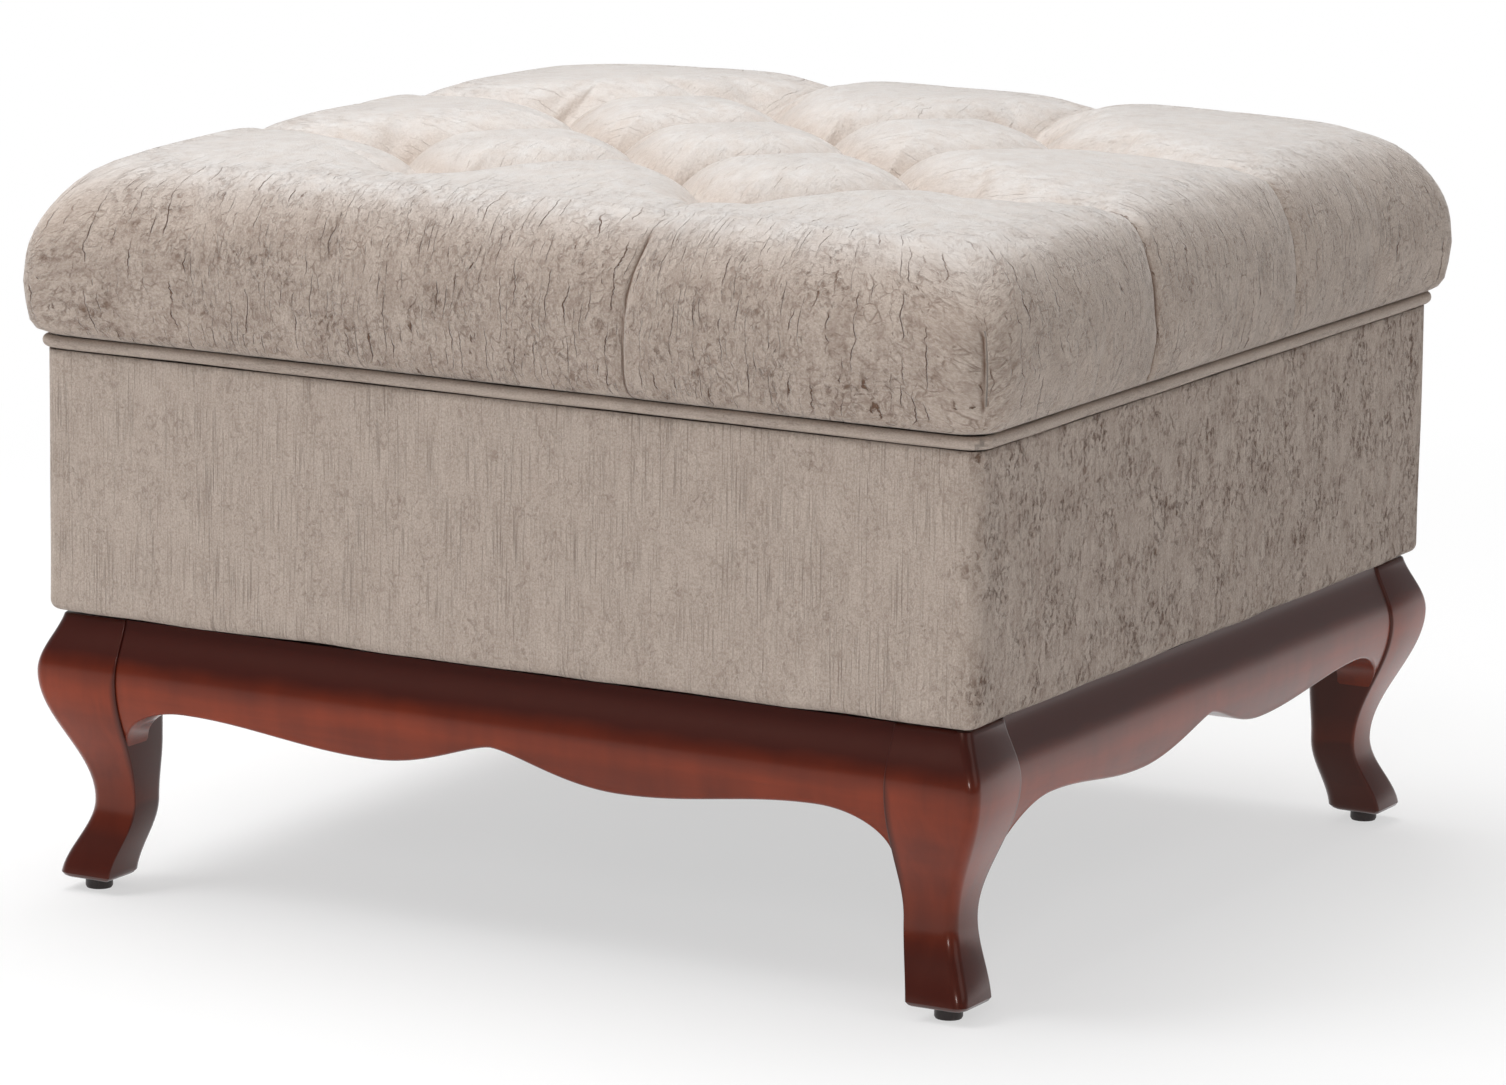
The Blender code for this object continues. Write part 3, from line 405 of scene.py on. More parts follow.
def make_setting_tree():
    """Geometry nodes that set a copy of a pattern object at each point, turned as the point says."""
    inputs = {"Geometry": "Geometry", "Pattern": "Object", "Finish": "Material"}
    inputs |= {"Wobble": 0.0, "Size spread": 0.0, "Seed": "Int"}
    tree, given, result = new_group("set_at_places", "GeometryNodeTree", inputs, {"Geometry": "Geometry"})
    pattern = put(tree, "GeometryNodeObjectInfo", {"Object": given["Pattern"]})
    turn = put(tree, "GeometryNodeInputNamedAttribute", {"Name": "turn"}, data_type="FLOAT_VECTOR").outputs[0]
    low, high = (vector(tree, "SCALE", {0: (0, 0, sign), "Scale": given["Wobble"]}) for sign in (-1, 1))
    limits = {0: low, 1: high, "Seed": given["Seed"]}
    wobble = put(tree, "FunctionNodeRandomValue", limits, data_type="FLOAT_VECTOR").outputs[0]
    angles = vector(tree, "ADD", {0: turn, 1: wobble})
    smallest = work_out("SUBTRACT", 1.0, given["Size spread"])
    largest = work_out("ADD", 1.0, given["Size spread"])
    limits = {2: smallest, 3: largest, "Seed": work_out("ADD", given["Seed"], 1)}
    size = put(tree, "FunctionNodeRandomValue", limits, data_type="FLOAT").outputs[1]
    copying = {
        "Points": given["Geometry"],
        "Instance": pattern.outputs["Geometry"],
        "Rotation": put(tree, "FunctionNodeEulerToRotation", {0: angles}).outputs[0],
        "Scale": size,
    }
    finish_geometry(put(tree, "GeometryNodeInstanceOnPoints", copying).outputs[0], given, result)
    return tree


SET_AT_PLACES = make_setting_tree()


def run_tree(carrier, tree, values):
    """Run a geometry node tree on an object, keep the plain mesh and take the object away."""
    modifier = carrier.modifiers.new("tree", "NODES")
    modifier.node_group = tree
    for item in tree.interface.items_tree:
        if item.in_out == "INPUT" and item.name in values:
            modifier[item.identifier] = values[item.name]
    bpy.context.view_layer.update()
    mesh = bpy.data.meshes.new_from_object(carrier.evaluated_get(bpy.context.evaluated_depsgraph_get()))
    carrier.modifiers.clear()
    bpy.data.objects.remove(carrier)
    return mesh


def plain_mesh(name, points, edges, faces):
    mesh = bpy.data.meshes.new(name)
    mesh.from_pydata(points, edges, faces)
    return mesh


def store(mesh, name, values, kind="FLOAT"):
    """Give each point of a mesh its value or vector."""
    data = mesh.attributes.new(name, kind, "POINT").data
    data.foreach_set("value" if kind == "FLOAT" else "vector", np.ravel(values))


def set_at_places(name, pattern_mesh, finish, places, wobble=0.0, spread=0.0, seed=0):
    """Plain mesh with a copy of the pattern at each place, given as matrices."""
    points = plain_mesh(name, [place.to_translation() for place in places], [], [])
    store(points, "turn", [tuple(place.to_euler()) for place in places], "FLOAT_VECTOR")
    pattern = new_object("pattern", pattern_mesh)
    values = {"Pattern": pattern, "Finish": finish, "Wobble": wobble, "Size spread": spread, "Seed": seed}
    mesh = run_tree(new_object(name, points), SET_AT_PLACES, values)
    bpy.data.objects.remove(pattern)
    mesh.name = name
    return mesh


scuffs = ((0.004, 0.001, 0.004), 3.0)
glide_plastic = spotted_material(
    "glide_plastic", scuffs, (0.022, 0.012, 0.011), (0.07, 0.05, 0.045), (0.3, 0.8, 0.35, 0.65), (0.5, 0.8)
)
glide_profile = [
    (GLIDE_RADIUS * 0.7, 0),
    (GLIDE_RADIUS * 0.92, 0.0004),
    (GLIDE_RADIUS, 0.0016),
    (GLIDE_RADIUS, GLIDE_HEIGHT - 0.001),
    (GLIDE_RADIUS - 0.001, GLIDE_HEIGHT),
    (GLIDE_PIN_RADIUS, GLIDE_HEIGHT),
    (GLIDE_PIN_RADIUS, GLIDE_HEIGHT + GLIDE_PIN_LENGTH - GLIDE_PIN_RADIUS),
    (0, GLIDE_HEIGHT + GLIDE_PIN_LENGTH),
]
foot = Matrix.Translation((GLIDE_FROM_SIDE, GLIDE_FROM_SIDE, 0))
glide_places = [corner_place(corner) @ foot for corner in CORNERS]
glides = set_at_places("foot_glides", lathe("glide", glide_profile, 32), glide_plastic, glide_places)
add_piece("foot_glides", glides, None, ["glide_" + corner for corner in CORNERS])


# Aprons: four carved mahogany rails with a notch, two bellies and a hollow along the lower edge, tenoned
# and glued into the legs. Their face follows the legs' curve, a little behind it.
APRON_THICKNESS = 0.022
APRON_SETBACK = 0.0015
APRON_NOTCH, APRON_BELLY, APRON_HOLLOW, APRON_EAR = 0.122, 0.1045, 0.1155, 0.090
APRON_BELLY_AT = 0.082
APRON_HOLLOW_FROM_LEG = 0.044
APRON_EDGE_RADIUS, APRON_BACK_BEVEL = 0.0025, 0.0015
APRON_HALF = HALF_BODY - LEG_BLOCK - 0.00005
APRON_BACK = level_ease(LEG_FACE, FRAME_HEIGHT) - APRON_SETBACK - APRON_THICKNESS
APRON_SIDES = {"front": (0, -1, 180), "right": (1, 0, -90), "back": (0, 1, 0), "left": (-1, 0, 90)}


def apron_lower_edge(along):
    """Height of the lower edge: a notch, a belly on each side, a hollow, then an ear at the leg."""
    along = abs(along)
    hollow_at = APRON_HALF - APRON_HOLLOW_FROM_LEG
    if along > hollow_at:
        share = (along - hollow_at) / APRON_HOLLOW_FROM_LEG
        return APRON_EAR + (APRON_HOLLOW - APRON_EAR) * math.sqrt(max(1 - share * share, 0.0))
    if along < APRON_BELLY_AT:
        start, end, share = APRON_NOTCH, APRON_BELLY, (along / APRON_BELLY_AT) ** 0.75
    else:
        start, end, share = APRON_BELLY, APRON_HOLLOW, (along - APRON_BELLY_AT) / (hollow_at - APRON_BELLY_AT)
    return start + (end - start) * (0.5 - 0.5 * math.cos(math.pi * share))


def apron_section(along):
    """Section of an apron whose carved face looks to +Y."""
    low = apron_lower_edge(along)
    edge = APRON_EDGE_RADIUS
    nose = level_ease(LEG_FACE, low + edge) - APRON_SETBACK - edge
    bevel = APRON_BACK_BEVEL
    points = [(APRON_BACK, FRAME_HEIGHT), (APRON_BACK, low + bevel), (APRON_BACK + bevel, low)]
    points += arc(nose, low + edge, edge, 270, 360, 5)
    for height in np.linspace(low + edge, FRAME_HEIGHT, 28)[1:]:
        points.append((level_ease(LEG_FACE, height) - APRON_SETBACK, height))
    return [(along, y, z) for y, z in points]


apron_half_stations = list(np.linspace(0, APRON_HALF - APRON_HOLLOW_FROM_LEG, 64))
ear_angles = np.radians(np.linspace(0, 90, 20)[1:])
apron_half_stations += [APRON_HALF - APRON_HOLLOW_FROM_LEG * (1 - math.sin(a)) for a in ear_angles]
apron_stations = [-along for along in apron_half_stations[:0:-1]] + apron_half_stations
for side, (sx, sy, turn) in APRON_SIDES.items():
    apron_wood = lacquered("mahogany_apron_" + side, GRAIN_ALONG_X if sx == 0 else GRAIN_ALONG_Y)
    apron_mesh = skin("apron", [apron_section(along) for along in apron_stations])
    apron_mesh.transform(side_place(sx, sy, turn))
    add_piece("carved_apron_" + side, apron_mesh, apron_wood, ["apron_" + side])


# Corner blocks, posts, panels and deck: the plain softwood and plywood inside, which hold the stool together.
# They stay as they are in the CAD model, with sawn wood on them.
SAWN_DARK, SAWN_LIGHT = (0.46, 0.30, 0.16), (0.72, 0.55, 0.34)
PLY_DARK, PLY_LIGHT = (0.50, 0.36, 0.21), (0.74, 0.60, 0.42)


def paint_node(name, material):
    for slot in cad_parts[name].material_slots:
        slot.material = material


sawn_across = wood_material("softwood_across", GRAIN_ALONG_X, SAWN_DARK, SAWN_LIGHT, 0.75)
sawn_along = wood_material("softwood_along", GRAIN_ALONG_Y, SAWN_DARK, SAWN_LIGHT, 0.75)
sawn_upright = wood_material("softwood_upright", GRAIN_ALONG_Z, SAWN_DARK, SAWN_LIGHT, 0.75)
for corner in CORNERS:
    paint_node("corner_block_" + corner, sawn_across)
    paint_node("box_post_" + corner, sawn_upright)
for side in APRON_SIDES:
    paint_node("box_panel_" + side, sawn_across if side in ("front", "back") else sawn_along)
paint_node("deck_board", wood_material("deck_plywood", GRAIN_ALONG_X, PLY_DARK, PLY_LIGHT, 0.70))


# Screws: zinc-plated steel, two through each corner block into the aprons and one up into the box's post.
# Each has a domed head with a socket and a thread, and ends 1 mm before its CAD solid does.
SCREW_SHANK, SCREW_HEAD, SCREW_HEAD_HEIGHT = 0.0020, 0.0045, 0.0028
SCREW_HEAD_BASE = -0.0003
SCREW_TIP_ROOM = 0.001
BLOCK_SCREW_LENGTH, FRAME_SCREW_LENGTH = 0.056, 0.0534
BLOCK_SCREW_SPACING = 0.072
BLOCK_HEIGHT, BLOCK_REACH = 0.028, 0.060
BLOCK_GAP = 0.0003
FRAME_SCREW_INSET = -LEG_BLOCK - 0.014
THREAD_PITCH = 0.0018


def screw_mesh(length):
    """Screw along Z with its head at and below 0: domed head with a socket, then a threaded shank."""
    profile = [
        (0, -SCREW_HEAD_HEIGHT + 0.0014),
        (0.0012, -SCREW_HEAD_HEIGHT + 0.0013),
        (0.0013, -SCREW_HEAD_HEIGHT + 0.0001),
        (0.0016, -SCREW_HEAD_HEIGHT),
        (SCREW_HEAD * 0.62, -SCREW_HEAD_HEIGHT * 0.93),
        (SCREW_HEAD * 0.90, -SCREW_HEAD_HEIGHT * 0.65),
        (SCREW_HEAD, -SCREW_HEAD_HEIGHT * 0.30),
        (SCREW_HEAD, SCREW_HEAD_BASE),
        (SCREW_SHANK, SCREW_HEAD_BASE),
    ]
    for i in range(int((length - 0.008) / THREAD_PITCH)):
        start = 0.003 + i * THREAD_PITCH
        profile.append((SCREW_SHANK * 0.78, start + THREAD_PITCH * 0.3))
        profile.append((SCREW_SHANK, start + THREAD_PITCH * 0.6))
    return lathe("screw", profile + [(0, length)], 12)


steel_spots = ((0.002, 0.002, 0.002), 3.0)
screw_steel = spotted_material(
    "screw_steel",
    steel_spots,
    (0.62, 0.58, 0.46),
    (0.72, 0.71, 0.68),
    (0.3, 0.7, 0.28, 0.45),
    share=(0.35, 0.7),
    metallic=1.0,
)
block_near = APRON_BACK - BLOCK_GAP
block_middle = block_near + (APRON_THICKNESS - LEG_BLOCK - BLOCK_REACH) / 2
block_shift = BLOCK_SCREW_SPACING / 2 / math.sqrt(2)
toward_apron = Matrix.Rotation(math.radians(45), 4, "Z") @ Matrix.Rotation(math.radians(90), 4, "Y")
block_screw_places, frame_screw_places = [], []
for corner in CORNERS:
    place = corner_place(corner)
    for shift in (-block_shift, block_shift):
        head = (block_middle + shift, block_middle - shift, FRAME_HEIGHT - BLOCK_HEIGHT / 2)
        block_screw_places.append(place @ Matrix.Translation(head) @ toward_apron)
    head = (FRAME_SCREW_INSET, FRAME_SCREW_INSET, FRAME_HEIGHT - BLOCK_HEIGHT)
    frame_screw_places.append(place @ Matrix.Translation(head))
block_screw_nodes = ["block_screw_%s_%s" % (corner, end) for corner in CORNERS for end in "ab"]
frame_screw_nodes = ["frame_screw_" + corner for corner in CORNERS]
for name, length, places, nodes in (
    ("block_screws", BLOCK_SCREW_LENGTH, block_screw_places, block_screw_nodes),
    ("frame_screws", FRAME_SCREW_LENGTH, frame_screw_places, frame_screw_nodes),
):
    screws = set_at_places(name, screw_mesh(length - SCREW_TIP_ROOM), screw_steel, places)
    add_piece(name, screws, None, nodes)


# Dust cover: one square of thin black non-woven cloth, stapled under the box to close it from below.
# It hangs a little slack in the middle.
DUST_COVER_HALF = HALF_BODY - 0.015
DUST_COVER_HEIGHT, DUST_COVER_SAG = 0.1663, 0.004
DUST_CLOTH = 0.0008
STAPLE_HALF, STAPLE_LEG, STAPLE_WIRE = 0.0055, 0.0035, 0.0004
STAPLE_HEIGHT = 0.1655
STAPLE_FROM_EDGE, STAPLE_SPACING = 0.009, 0.038


def ring_points(half, radius, facets=6, spacing=None):
    """Points and outward directions round a square with rounded corners, counter-clockwise from above."""
    points = []
    straight = half - radius
    for quarter, (sx, sy) in enumerate(((1, -1), (1, 1), (-1, 1), (-1, -1))):
        for step in range(facets + 1):
            angle = math.radians(90 * (quarter - 1 + step / facets))
            way = (math.cos(angle), math.sin(angle))
            points.append(((sx * straight + radius * way[0], sy * straight + radius * way[1]), way))
        if spacing:
            (x, y), way = points[-1]
            count = round(2 * straight / spacing)
            for i in range(1, count):
                run = 2 * straight * i / count
                points.append(((x - way[1] * run, y + way[0] * run), way))
    return points


def waver(x, y, z):
    """Smooth noise at a place."""
    return noise.noise(Vector((x, y, z)))


def cells(place, scale):
    """Distance to the middle of small cells."""
    return put(place.id_data, "ShaderNodeTexVoronoi", {"Vector": place, "Scale": scale}).outputs["Distance"]


def grid_faces(rows, columns, turned=False):
    """Faces between the points of a grid that is stored row by row; turned, they look the other way."""
    faces = []
    for row in range(rows - 1):
        for a in range(row * columns, (row + 1) * columns - 1):
            face = (a, a + columns, a + columns + 1, a + 1)
            faces.append((a, *face[:0:-1]) if turned else face)
    return faces


def add_wall(piece, thickness, offset):
    wall = piece.modifiers.new("thickness", "SOLIDIFY")
    wall.thickness = thickness
    wall.offset = offset


dust_cloth = spotted_material(
    "black_dust_cloth",
    ((0.0008, 0.004, 0.004), 4.0, 0.7, 1.5),
    (0.014, 0.014, 0.015),
    (0.070, 0.068, 0.066),
    0.85,
    raised=lambda place, fibres: work_out("ADD", fibres, cells(place, 450.0)),
    depth=0.0003,
)
dust_steps = np.linspace(-DUST_COVER_HALF, DUST_COVER_HALF, 61)
dust_points = []
for y in dust_steps:
    for x in dust_steps:
        slack = (1 - (x / DUST_COVER_HALF) ** 2) * (1 - (y / DUST_COVER_HALF) ** 2)
        ripple = 0.35 * waver(x * 14, y * 14, 0.5)
        dust_points.append((x, y, DUST_COVER_HEIGHT - DUST_COVER_SAG * slack * (1 + ripple)))
dust_mesh = plain_mesh("dust_cover_cloth", dust_points, [], grid_faces(len(dust_steps), len(dust_steps)))
dust_mesh.shade_smooth()
dust_cover = add_piece("dust_cover_cloth", dust_mesh, dust_cloth, ["dust_cover"])
add_wall(dust_cover, DUST_CLOTH, 1.0)
staple_rings = []
for x, z in ((-STAPLE_HALF, STAPLE_LEG), (-STAPLE_HALF, 0), (STAPLE_HALF, 0), (STAPLE_HALF, STAPLE_LEG)):
    side = math.copysign(0.0003, x)
    lean = side if z else side * 0.7
    section = ((-lean, -STAPLE_WIRE), (lean, -STAPLE_WIRE), (lean, STAPLE_WIRE), (-lean, STAPLE_WIRE))
    staple_rings.append([(x + dx, dy, z or -abs(side)) for dx, dy in section])
staple_mesh = skin("staple", staple_rings)
staple_places = []
for (x, y), way in ring_points(DUST_COVER_HALF - STAPLE_FROM_EDGE, 0.010, 1, STAPLE_SPACING):
    turn = math.atan2(way[1], way[0]) + math.pi / 2
    staple_places.append(Matrix.Translation((x, y, STAPLE_HEIGHT)) @ Matrix.Rotation(turn, 4, "Z"))
staples = set_at_places("dust_cover_staples", staple_mesh, screw_steel, staple_places, 0.10, 0.0, 7)
add_piece("dust_cover_staples", staples, None, [])


# Side padding: a thin white polyester wadding wrapped round the box, under its cloth, to soften the panels.
# It is one closed band, held by the cloth stretched over it.
WADDING_OUT, WADDING_IN = HALF_BODY - 0.0021, HALF_BODY - 0.0067
WADDING_BOTTOM, WADDING_TOP = 0.1730, 0.3126


def level_ring(half, radius, height):
    """Ring of points round the stool at one height."""
    return [(x, y, height) for (x, y), way in ring_points(half, radius)]


wadding = spotted_material(
    "side_wadding",
    ((0.006, 0.006, 0.006), 5.0, 0.65, 0.8),
    (0.70, 0.70, 0.68),
    (0.92, 0.92, 0.90),
    0.95,
    raised=lambda place, fluff: fluff,
    depth=0.0015,
)
wadding_rings = [
    level_ring(WADDING_IN, 0.006, WADDING_BOTTOM),
    level_ring(WADDING_OUT, 0.006, WADDING_BOTTOM),
    level_ring(WADDING_OUT, 0.006, WADDING_TOP),
    level_ring(WADDING_IN, 0.006, WADDING_TOP),
]
wadding_mesh = skin("side_wadding", wadding_rings, "joined")
padding_piece = add_piece("side_wadding", wadding_mesh, wadding, ["side_padding"])


# Side cover: one band of taupe slub velvet stretched round the box, closed at the back left corner, turned
# under at the lower edge and tacked to the panels. Its slubs run upright.
VELVET = (0.475, 0.388, 0.329)
VELVET_SHADE = (0.165, 0.099, 0.068)
VELVET_NAP = (0.640, 0.552, 0.484)
# A paler colour painted on the cushion's high parts that look up: a painted sheen
VELVET_PAINTED_SHEEN = (0.65, 0.625, 0.605)
COVER_CLOTH = 0.0013
COVER_BOTTOM, COVER_TOP = 0.1666, 0.3201
COVER_HEM_RADIUS = 0.006
COVER_TURN_UNDER = 0.025
COVER_SWELL, COVER_PULL, HEM_WAVE = 0.0012, 0.0009, 0.0010
COVER_STEP = 0.006
BOX_CORNER_RADIUS = 0.009


def make_velvet_group():
    """Worn slub velvet: broken dark slubs along V, crooked crush marks, blotches and a fine nap, with painted
    shade in the folds and a painted sheen on the puffs' tops.
    """
    inputs = {"Cloth place": "Vector", "Base": "Color", "Shade": "Color", "Nap": "Color", "Slubs": 0.5}
    inputs |= {"Crush marks": 0.5, "Blotches": 0.5, "Rubbed": 1.0}
    inputs |= {"Crease_shade": 0.0, "Painted_sheen": 0.0, "Painted sheen colour": "Color"}
    tree, given, result = new_group("slub_velvet", "ShaderNodeTree", inputs, SURFACE_OUTPUTS)
    place = given["Cloth place"]
    # Slubs: thin upright dashes, thicker where a slow noise lets them through
    slub = ramp(stretched_noise(place, (0.0010, 0.040, 0.01), 3.0, 0.60), 0.48, 0.68)
    slub_where = ramp(stretched_noise(place, (0.020, 0.070, 0.05), 3.0), 0.30, 0.70)
    slubs = times(slub, scaled(slub_where, 0.7, 0.3), given["Slubs"])
    # Crush marks: long thin broken lines down the cloth, with dark ticks and a faint net of cracks
    sway = put(tree, "ShaderNodeTexNoise", {"Vector": place, "Scale": 45.0, "Detail": 5.0, "Roughness": 0.55})
    swayed = vector(tree, "MULTIPLY_ADD", {0: sway.outputs["Color"], 1: (0.0110, 0.0080, 0), 2: place})
    across = put(tree, "ShaderNodeSeparateXYZ", {0: swayed}).outputs["X"]
    across = scaled(stretched_noise(place, (0.016, 0.30, 0.05), 1.0), 0.018, across)
    line_where = ramp(stretched_noise(place, (0.006, 0.028, 0.02), 3.0, 0.65), 0.46, 0.64)
    line = times(ramp(work_out("PINGPONG", across, 0.0026), 0.00010, 0.00042, 1.0, 0.0), line_where)
    ticks = ramp(stretched_noise(swayed, (0.0014, 0.0070, 0.006)), 0.68, 0.79, 0.0, 0.8)
    flat = put(tree, "ShaderNodeMapping", {"Vector": swayed, "Scale": (1 / 0.0046, 1 / 0.0072, 0)}).outputs[0]
    net = put(tree, "ShaderNodeTexVoronoi", {"Vector": flat, "Scale": 1.0}, feature="DISTANCE_TO_EDGE")
    crack_where = ramp(stretched_noise(place, (0.010, 0.014, 0.02), 4.0, 0.7), 0.42, 0.62, 0.0, 0.42)
    crack = times(ramp(net.outputs["Distance"], 0.01, 0.13, 1.0, 0.0), crack_where)
    worn = work_out("POWER", given["Rubbed"], 0.90)
    marks = times(greatest(line, ticks, crack), given["Crush marks"], worn)
    # Blotches: flecks of pile that lies the other way, in clusters, over soft mottling
    flecks = ramp(stretched_noise(place, (0.0033, 0.0052, 0.006), 4.0, 0.70, 0.6), 0.48, 0.66)
    clusters = ramp(stretched_noise(place, (0.022, 0.030, 0.03), 3.0), 0.38, 0.62, 0.25, 0.85)
    mottles = ramp(stretched_noise(place, (0.011, 0.024, 0.02), 4.0, 0.6), 0.36, 0.66, 0.0, 0.40)
    blotch = times(scaled(flecks, clusters, mottles), given["Blotches"], scaled(given["Rubbed"], 0.85, 0.10))
    nap = stretched_noise(place, (0.0011, 0.0016, 0.0015), 2.0, 0.8)
    # Dark: the slubs, crush marks and blotches, and the painted shade down the folds and pleats
    dark = greatest(slubs, marks, blotch, given["Crease_shade"])
    # Colour: the nap's light tips, a painted sheen in patches on the puffs' tops, and all that is dark over
    # them
    base = mixed(times(ramp(nap, 0.38, 0.64), 0.80), given["Base"], given["Nap"])
    patchy = ramp(stretched_noise(place, (0.012, 0.014, 0.02), 5.0, 0.70), 0.34, 0.64, 0.58, 1.0)
    base = mixed(times(patchy, given["Painted_sheen"]), base, given["Painted sheen colour"])
    made = {
        "Color": mixed(dark, base, given["Shade"]),
        "Roughness": ramp(dark, 0.0, 1.0, 0.78, 0.95),
        "Height": scaled(nap, 0.5, times(dark, -1.0)),
    }
    fill(result, made)
    return tree


SLUB_VELVET = make_velvet_group()


def velvet_material(name, slubs, marks, blotches, sheen, sheen_spread):
    """Velvet laid out by the piece's own cloth coordinates, in metres."""
    material, tree, shader = new_material(name)
    inputs = {
        "Cloth place": put(tree, "ShaderNodeUVMap", uv_map="cloth").outputs[0],
        "Painted sheen colour": (*VELVET_PAINTED_SHEEN, 1),
        "Base": (*VELVET, 1),
        "Shade": (*VELVET_SHADE, 1),
        "Nap": (*VELVET_NAP, 1),
        "Slubs": slubs,
        "Crush marks": marks,
        "Blotches": blotches,
    }
    # Rubbing, and the painted shade and painted sheen, as stored on each piece
    for wear_and_painted_light in ("rubbed", "crease_shade", "painted_sheen"):
        inputs[wear_and_painted_light.capitalize()] = put(tree, "ShaderNodeAttribute", attribute_name=wear_and_painted_light).outputs["Fac"]
    dress(shader, SLUB_VELVET, inputs, 0.0009)
    gloss = {
        "Specular IOR Level": 0.15,
        "Sheen Weight": sheen,
        "Sheen Roughness": sheen_spread,
        "Sheen Tint": (1.0, 0.98, 0.96, 1),
    }
    fill(shader.inputs, gloss)
    return material


def lay_cloth(mesh, places, rubbed=1.0, crease_shade=0.0, painted_sheen=0.0, side_places=None):
    """Store each vertex's place on the flat cloth as the UV map named cloth, and its rubbing, its painted
    shade in folds and its painted sheen.

    Faces nearer to +X or -X than to the front or back take their places from side_places where that is given.
    """
    for name, amount in (("rubbed", rubbed), ("crease_shade", crease_shade), ("painted_sheen", painted_sheen)):
        store(mesh, name, np.broadcast_to(np.asarray(amount, dtype=np.float32), len(mesh.vertices)))
    layer = mesh.uv_layers.new(name="cloth")
    corners = np.zeros(len(mesh.loops), dtype=np.int64)
    mesh.loops.foreach_get("vertex_index", corners)
    spots = np.asarray(places, dtype=np.float32)[corners]
    if side_places is not None:
        side_spots = np.asarray(side_places, dtype=np.float32)[corners]
        for polygon in mesh.polygons:
            if abs(polygon.center[0]) > abs(polygon.center[1]):
                loops = slice(polygon.loop_start, polygon.loop_start + polygon.loop_total)
                spots[loops] = side_spots[loops]
    layer.data.foreach_set("uv", spots.ravel())


box_velvet = velvet_material("box_velvet", 0.60, 0.30, 0.90, 0.20, 0.42)
cover_ring = ring_points(HALF_BODY, BOX_CORNER_RADIUS, 8, COVER_STEP)
seam = len(cover_ring) // 2 + 4
cover_ring = cover_ring[seam:] + cover_ring[:seam + 1]
cover_run = [0.0]
for (start, _), (end, _) in zip(cover_ring, cover_ring[1:]):
    cover_run.append(cover_run[-1] + math.dist(start, end))
cover_profile = [(COVER_TURN_UNDER, COVER_BOTTOM), (0.016, COVER_BOTTOM), (0.010, COVER_BOTTOM)]
for inset, rise in arc(COVER_HEM_RADIUS, COVER_HEM_RADIUS, COVER_HEM_RADIUS, 270, 180, 7):
    cover_profile.append((inset, COVER_BOTTOM + rise))
cover_profile += [(0, height) for height in np.linspace(COVER_BOTTOM + COVER_HEM_RADIUS, COVER_TOP, 34)[1:]]
cover_rows, cover_uv, cover_rub = [], [], []
drop = 0.0
for level, (inset, height) in enumerate(cover_profile):
    if level:
        drop += math.dist(cover_profile[level - 1], cover_profile[level])
    rise = (height - COVER_BOTTOM) / (COVER_TOP - COVER_BOTTOM)
    for ((x, y), way), run in zip(cover_ring, cover_run):
        swell = COVER_SWELL * math.sin(math.pi * rise) * waver(x * 9, y * 9, height * 9)
        pull = COVER_PULL * rise ** 3 * waver(x * 60, y * 60, height * 12)
        hem = HEM_WAVE * (1 - rise) ** 8 * waver(x * 22, y * 22, 3)
        out = swell + pull - inset
        cover_rows.append((x + way[0] * out, y + way[1] * out, height + hem))
        cover_uv.append((run, drop))
        cover_rub.append(0.45 + 0.75 * min(max((x - 0.285) / 0.015, 0), 1))
cover_faces = grid_faces(len(cover_profile), len(cover_ring), turned=True)
cover_mesh = plain_mesh("box_side_cover", cover_rows, [], cover_faces)
cover_mesh.shade_smooth()
lay_cloth(cover_mesh, cover_uv, cover_rub)
side_cover = add_piece("box_side_cover", cover_mesh, box_velvet, ["side_cover"])
add_wall(side_cover, COVER_CLOTH, -1.0)


# Piping: a cord wrapped in a strip of the same velvet, sewn into the seam between the box and the cushion.
# It wanders a little, as hand-sewn piping does, and is pinched out at the corners.
PIPING_RADIUS = 0.0037
PIPING_HEIGHT = 0.3246
PIPING_INSET = 0.0004
PIPING_WANDER = 0.0009
CORNER_PINCH_OUT, CORNER_PINCH_UP, CORNER_PINCH_WIDTH = 0.0010, 0.0005, 0.010
PIPING_STEP = 0.004


def make_piping_tree():
    """Geometry nodes that sweep a round cord along a path, with a slow wander up and down."""
    inputs = {"Geometry": "Geometry", "Cord radius": PIPING_RADIUS, "Wander": PIPING_WANDER}
    inputs |= {"Wander scale": 9.0, "Seed": 3.0, "Finish": "Material"}
    tree, given, result = new_group("piping", "GeometryNodeTree", inputs, {"Geometry": "Geometry"})
    line = put(tree, "GeometryNodeMeshToCurve", {0: given["Geometry"]}).outputs[0]
    place = put(tree, "GeometryNodeInputPosition").outputs[0]
    slow = {"Vector": place, "W": given["Seed"], "Scale": given["Wander scale"], "Detail": 2.0}
    drift = put(tree, "ShaderNodeTexNoise", slow, noise_dimensions="4D").outputs["Fac"]
    lift = times(work_out("SUBTRACT", drift, 0.5), 2.0, given["Wander"])
    offset = put(tree, "ShaderNodeCombineXYZ", {"Z": lift}).outputs[0]
    moved = put(tree, "GeometryNodeSetPosition", {"Geometry": line, "Offset": offset}).outputs[0]
    circle = {"Resolution": 16, "Radius": given["Cord radius"]}
    section = put(tree, "GeometryNodeCurvePrimitiveCircle", circle).outputs[0]
    cord = put(tree, "GeometryNodeCurveToMesh", {"Curve": moved, "Profile Curve": section}).outputs[0]
    finish_geometry(cord, given, result)
    return tree


def coordinates(mesh):
    values = np.zeros(len(mesh.vertices) * 3)
    mesh.vertices.foreach_get("co", values)
    return values.reshape(-1, 3)


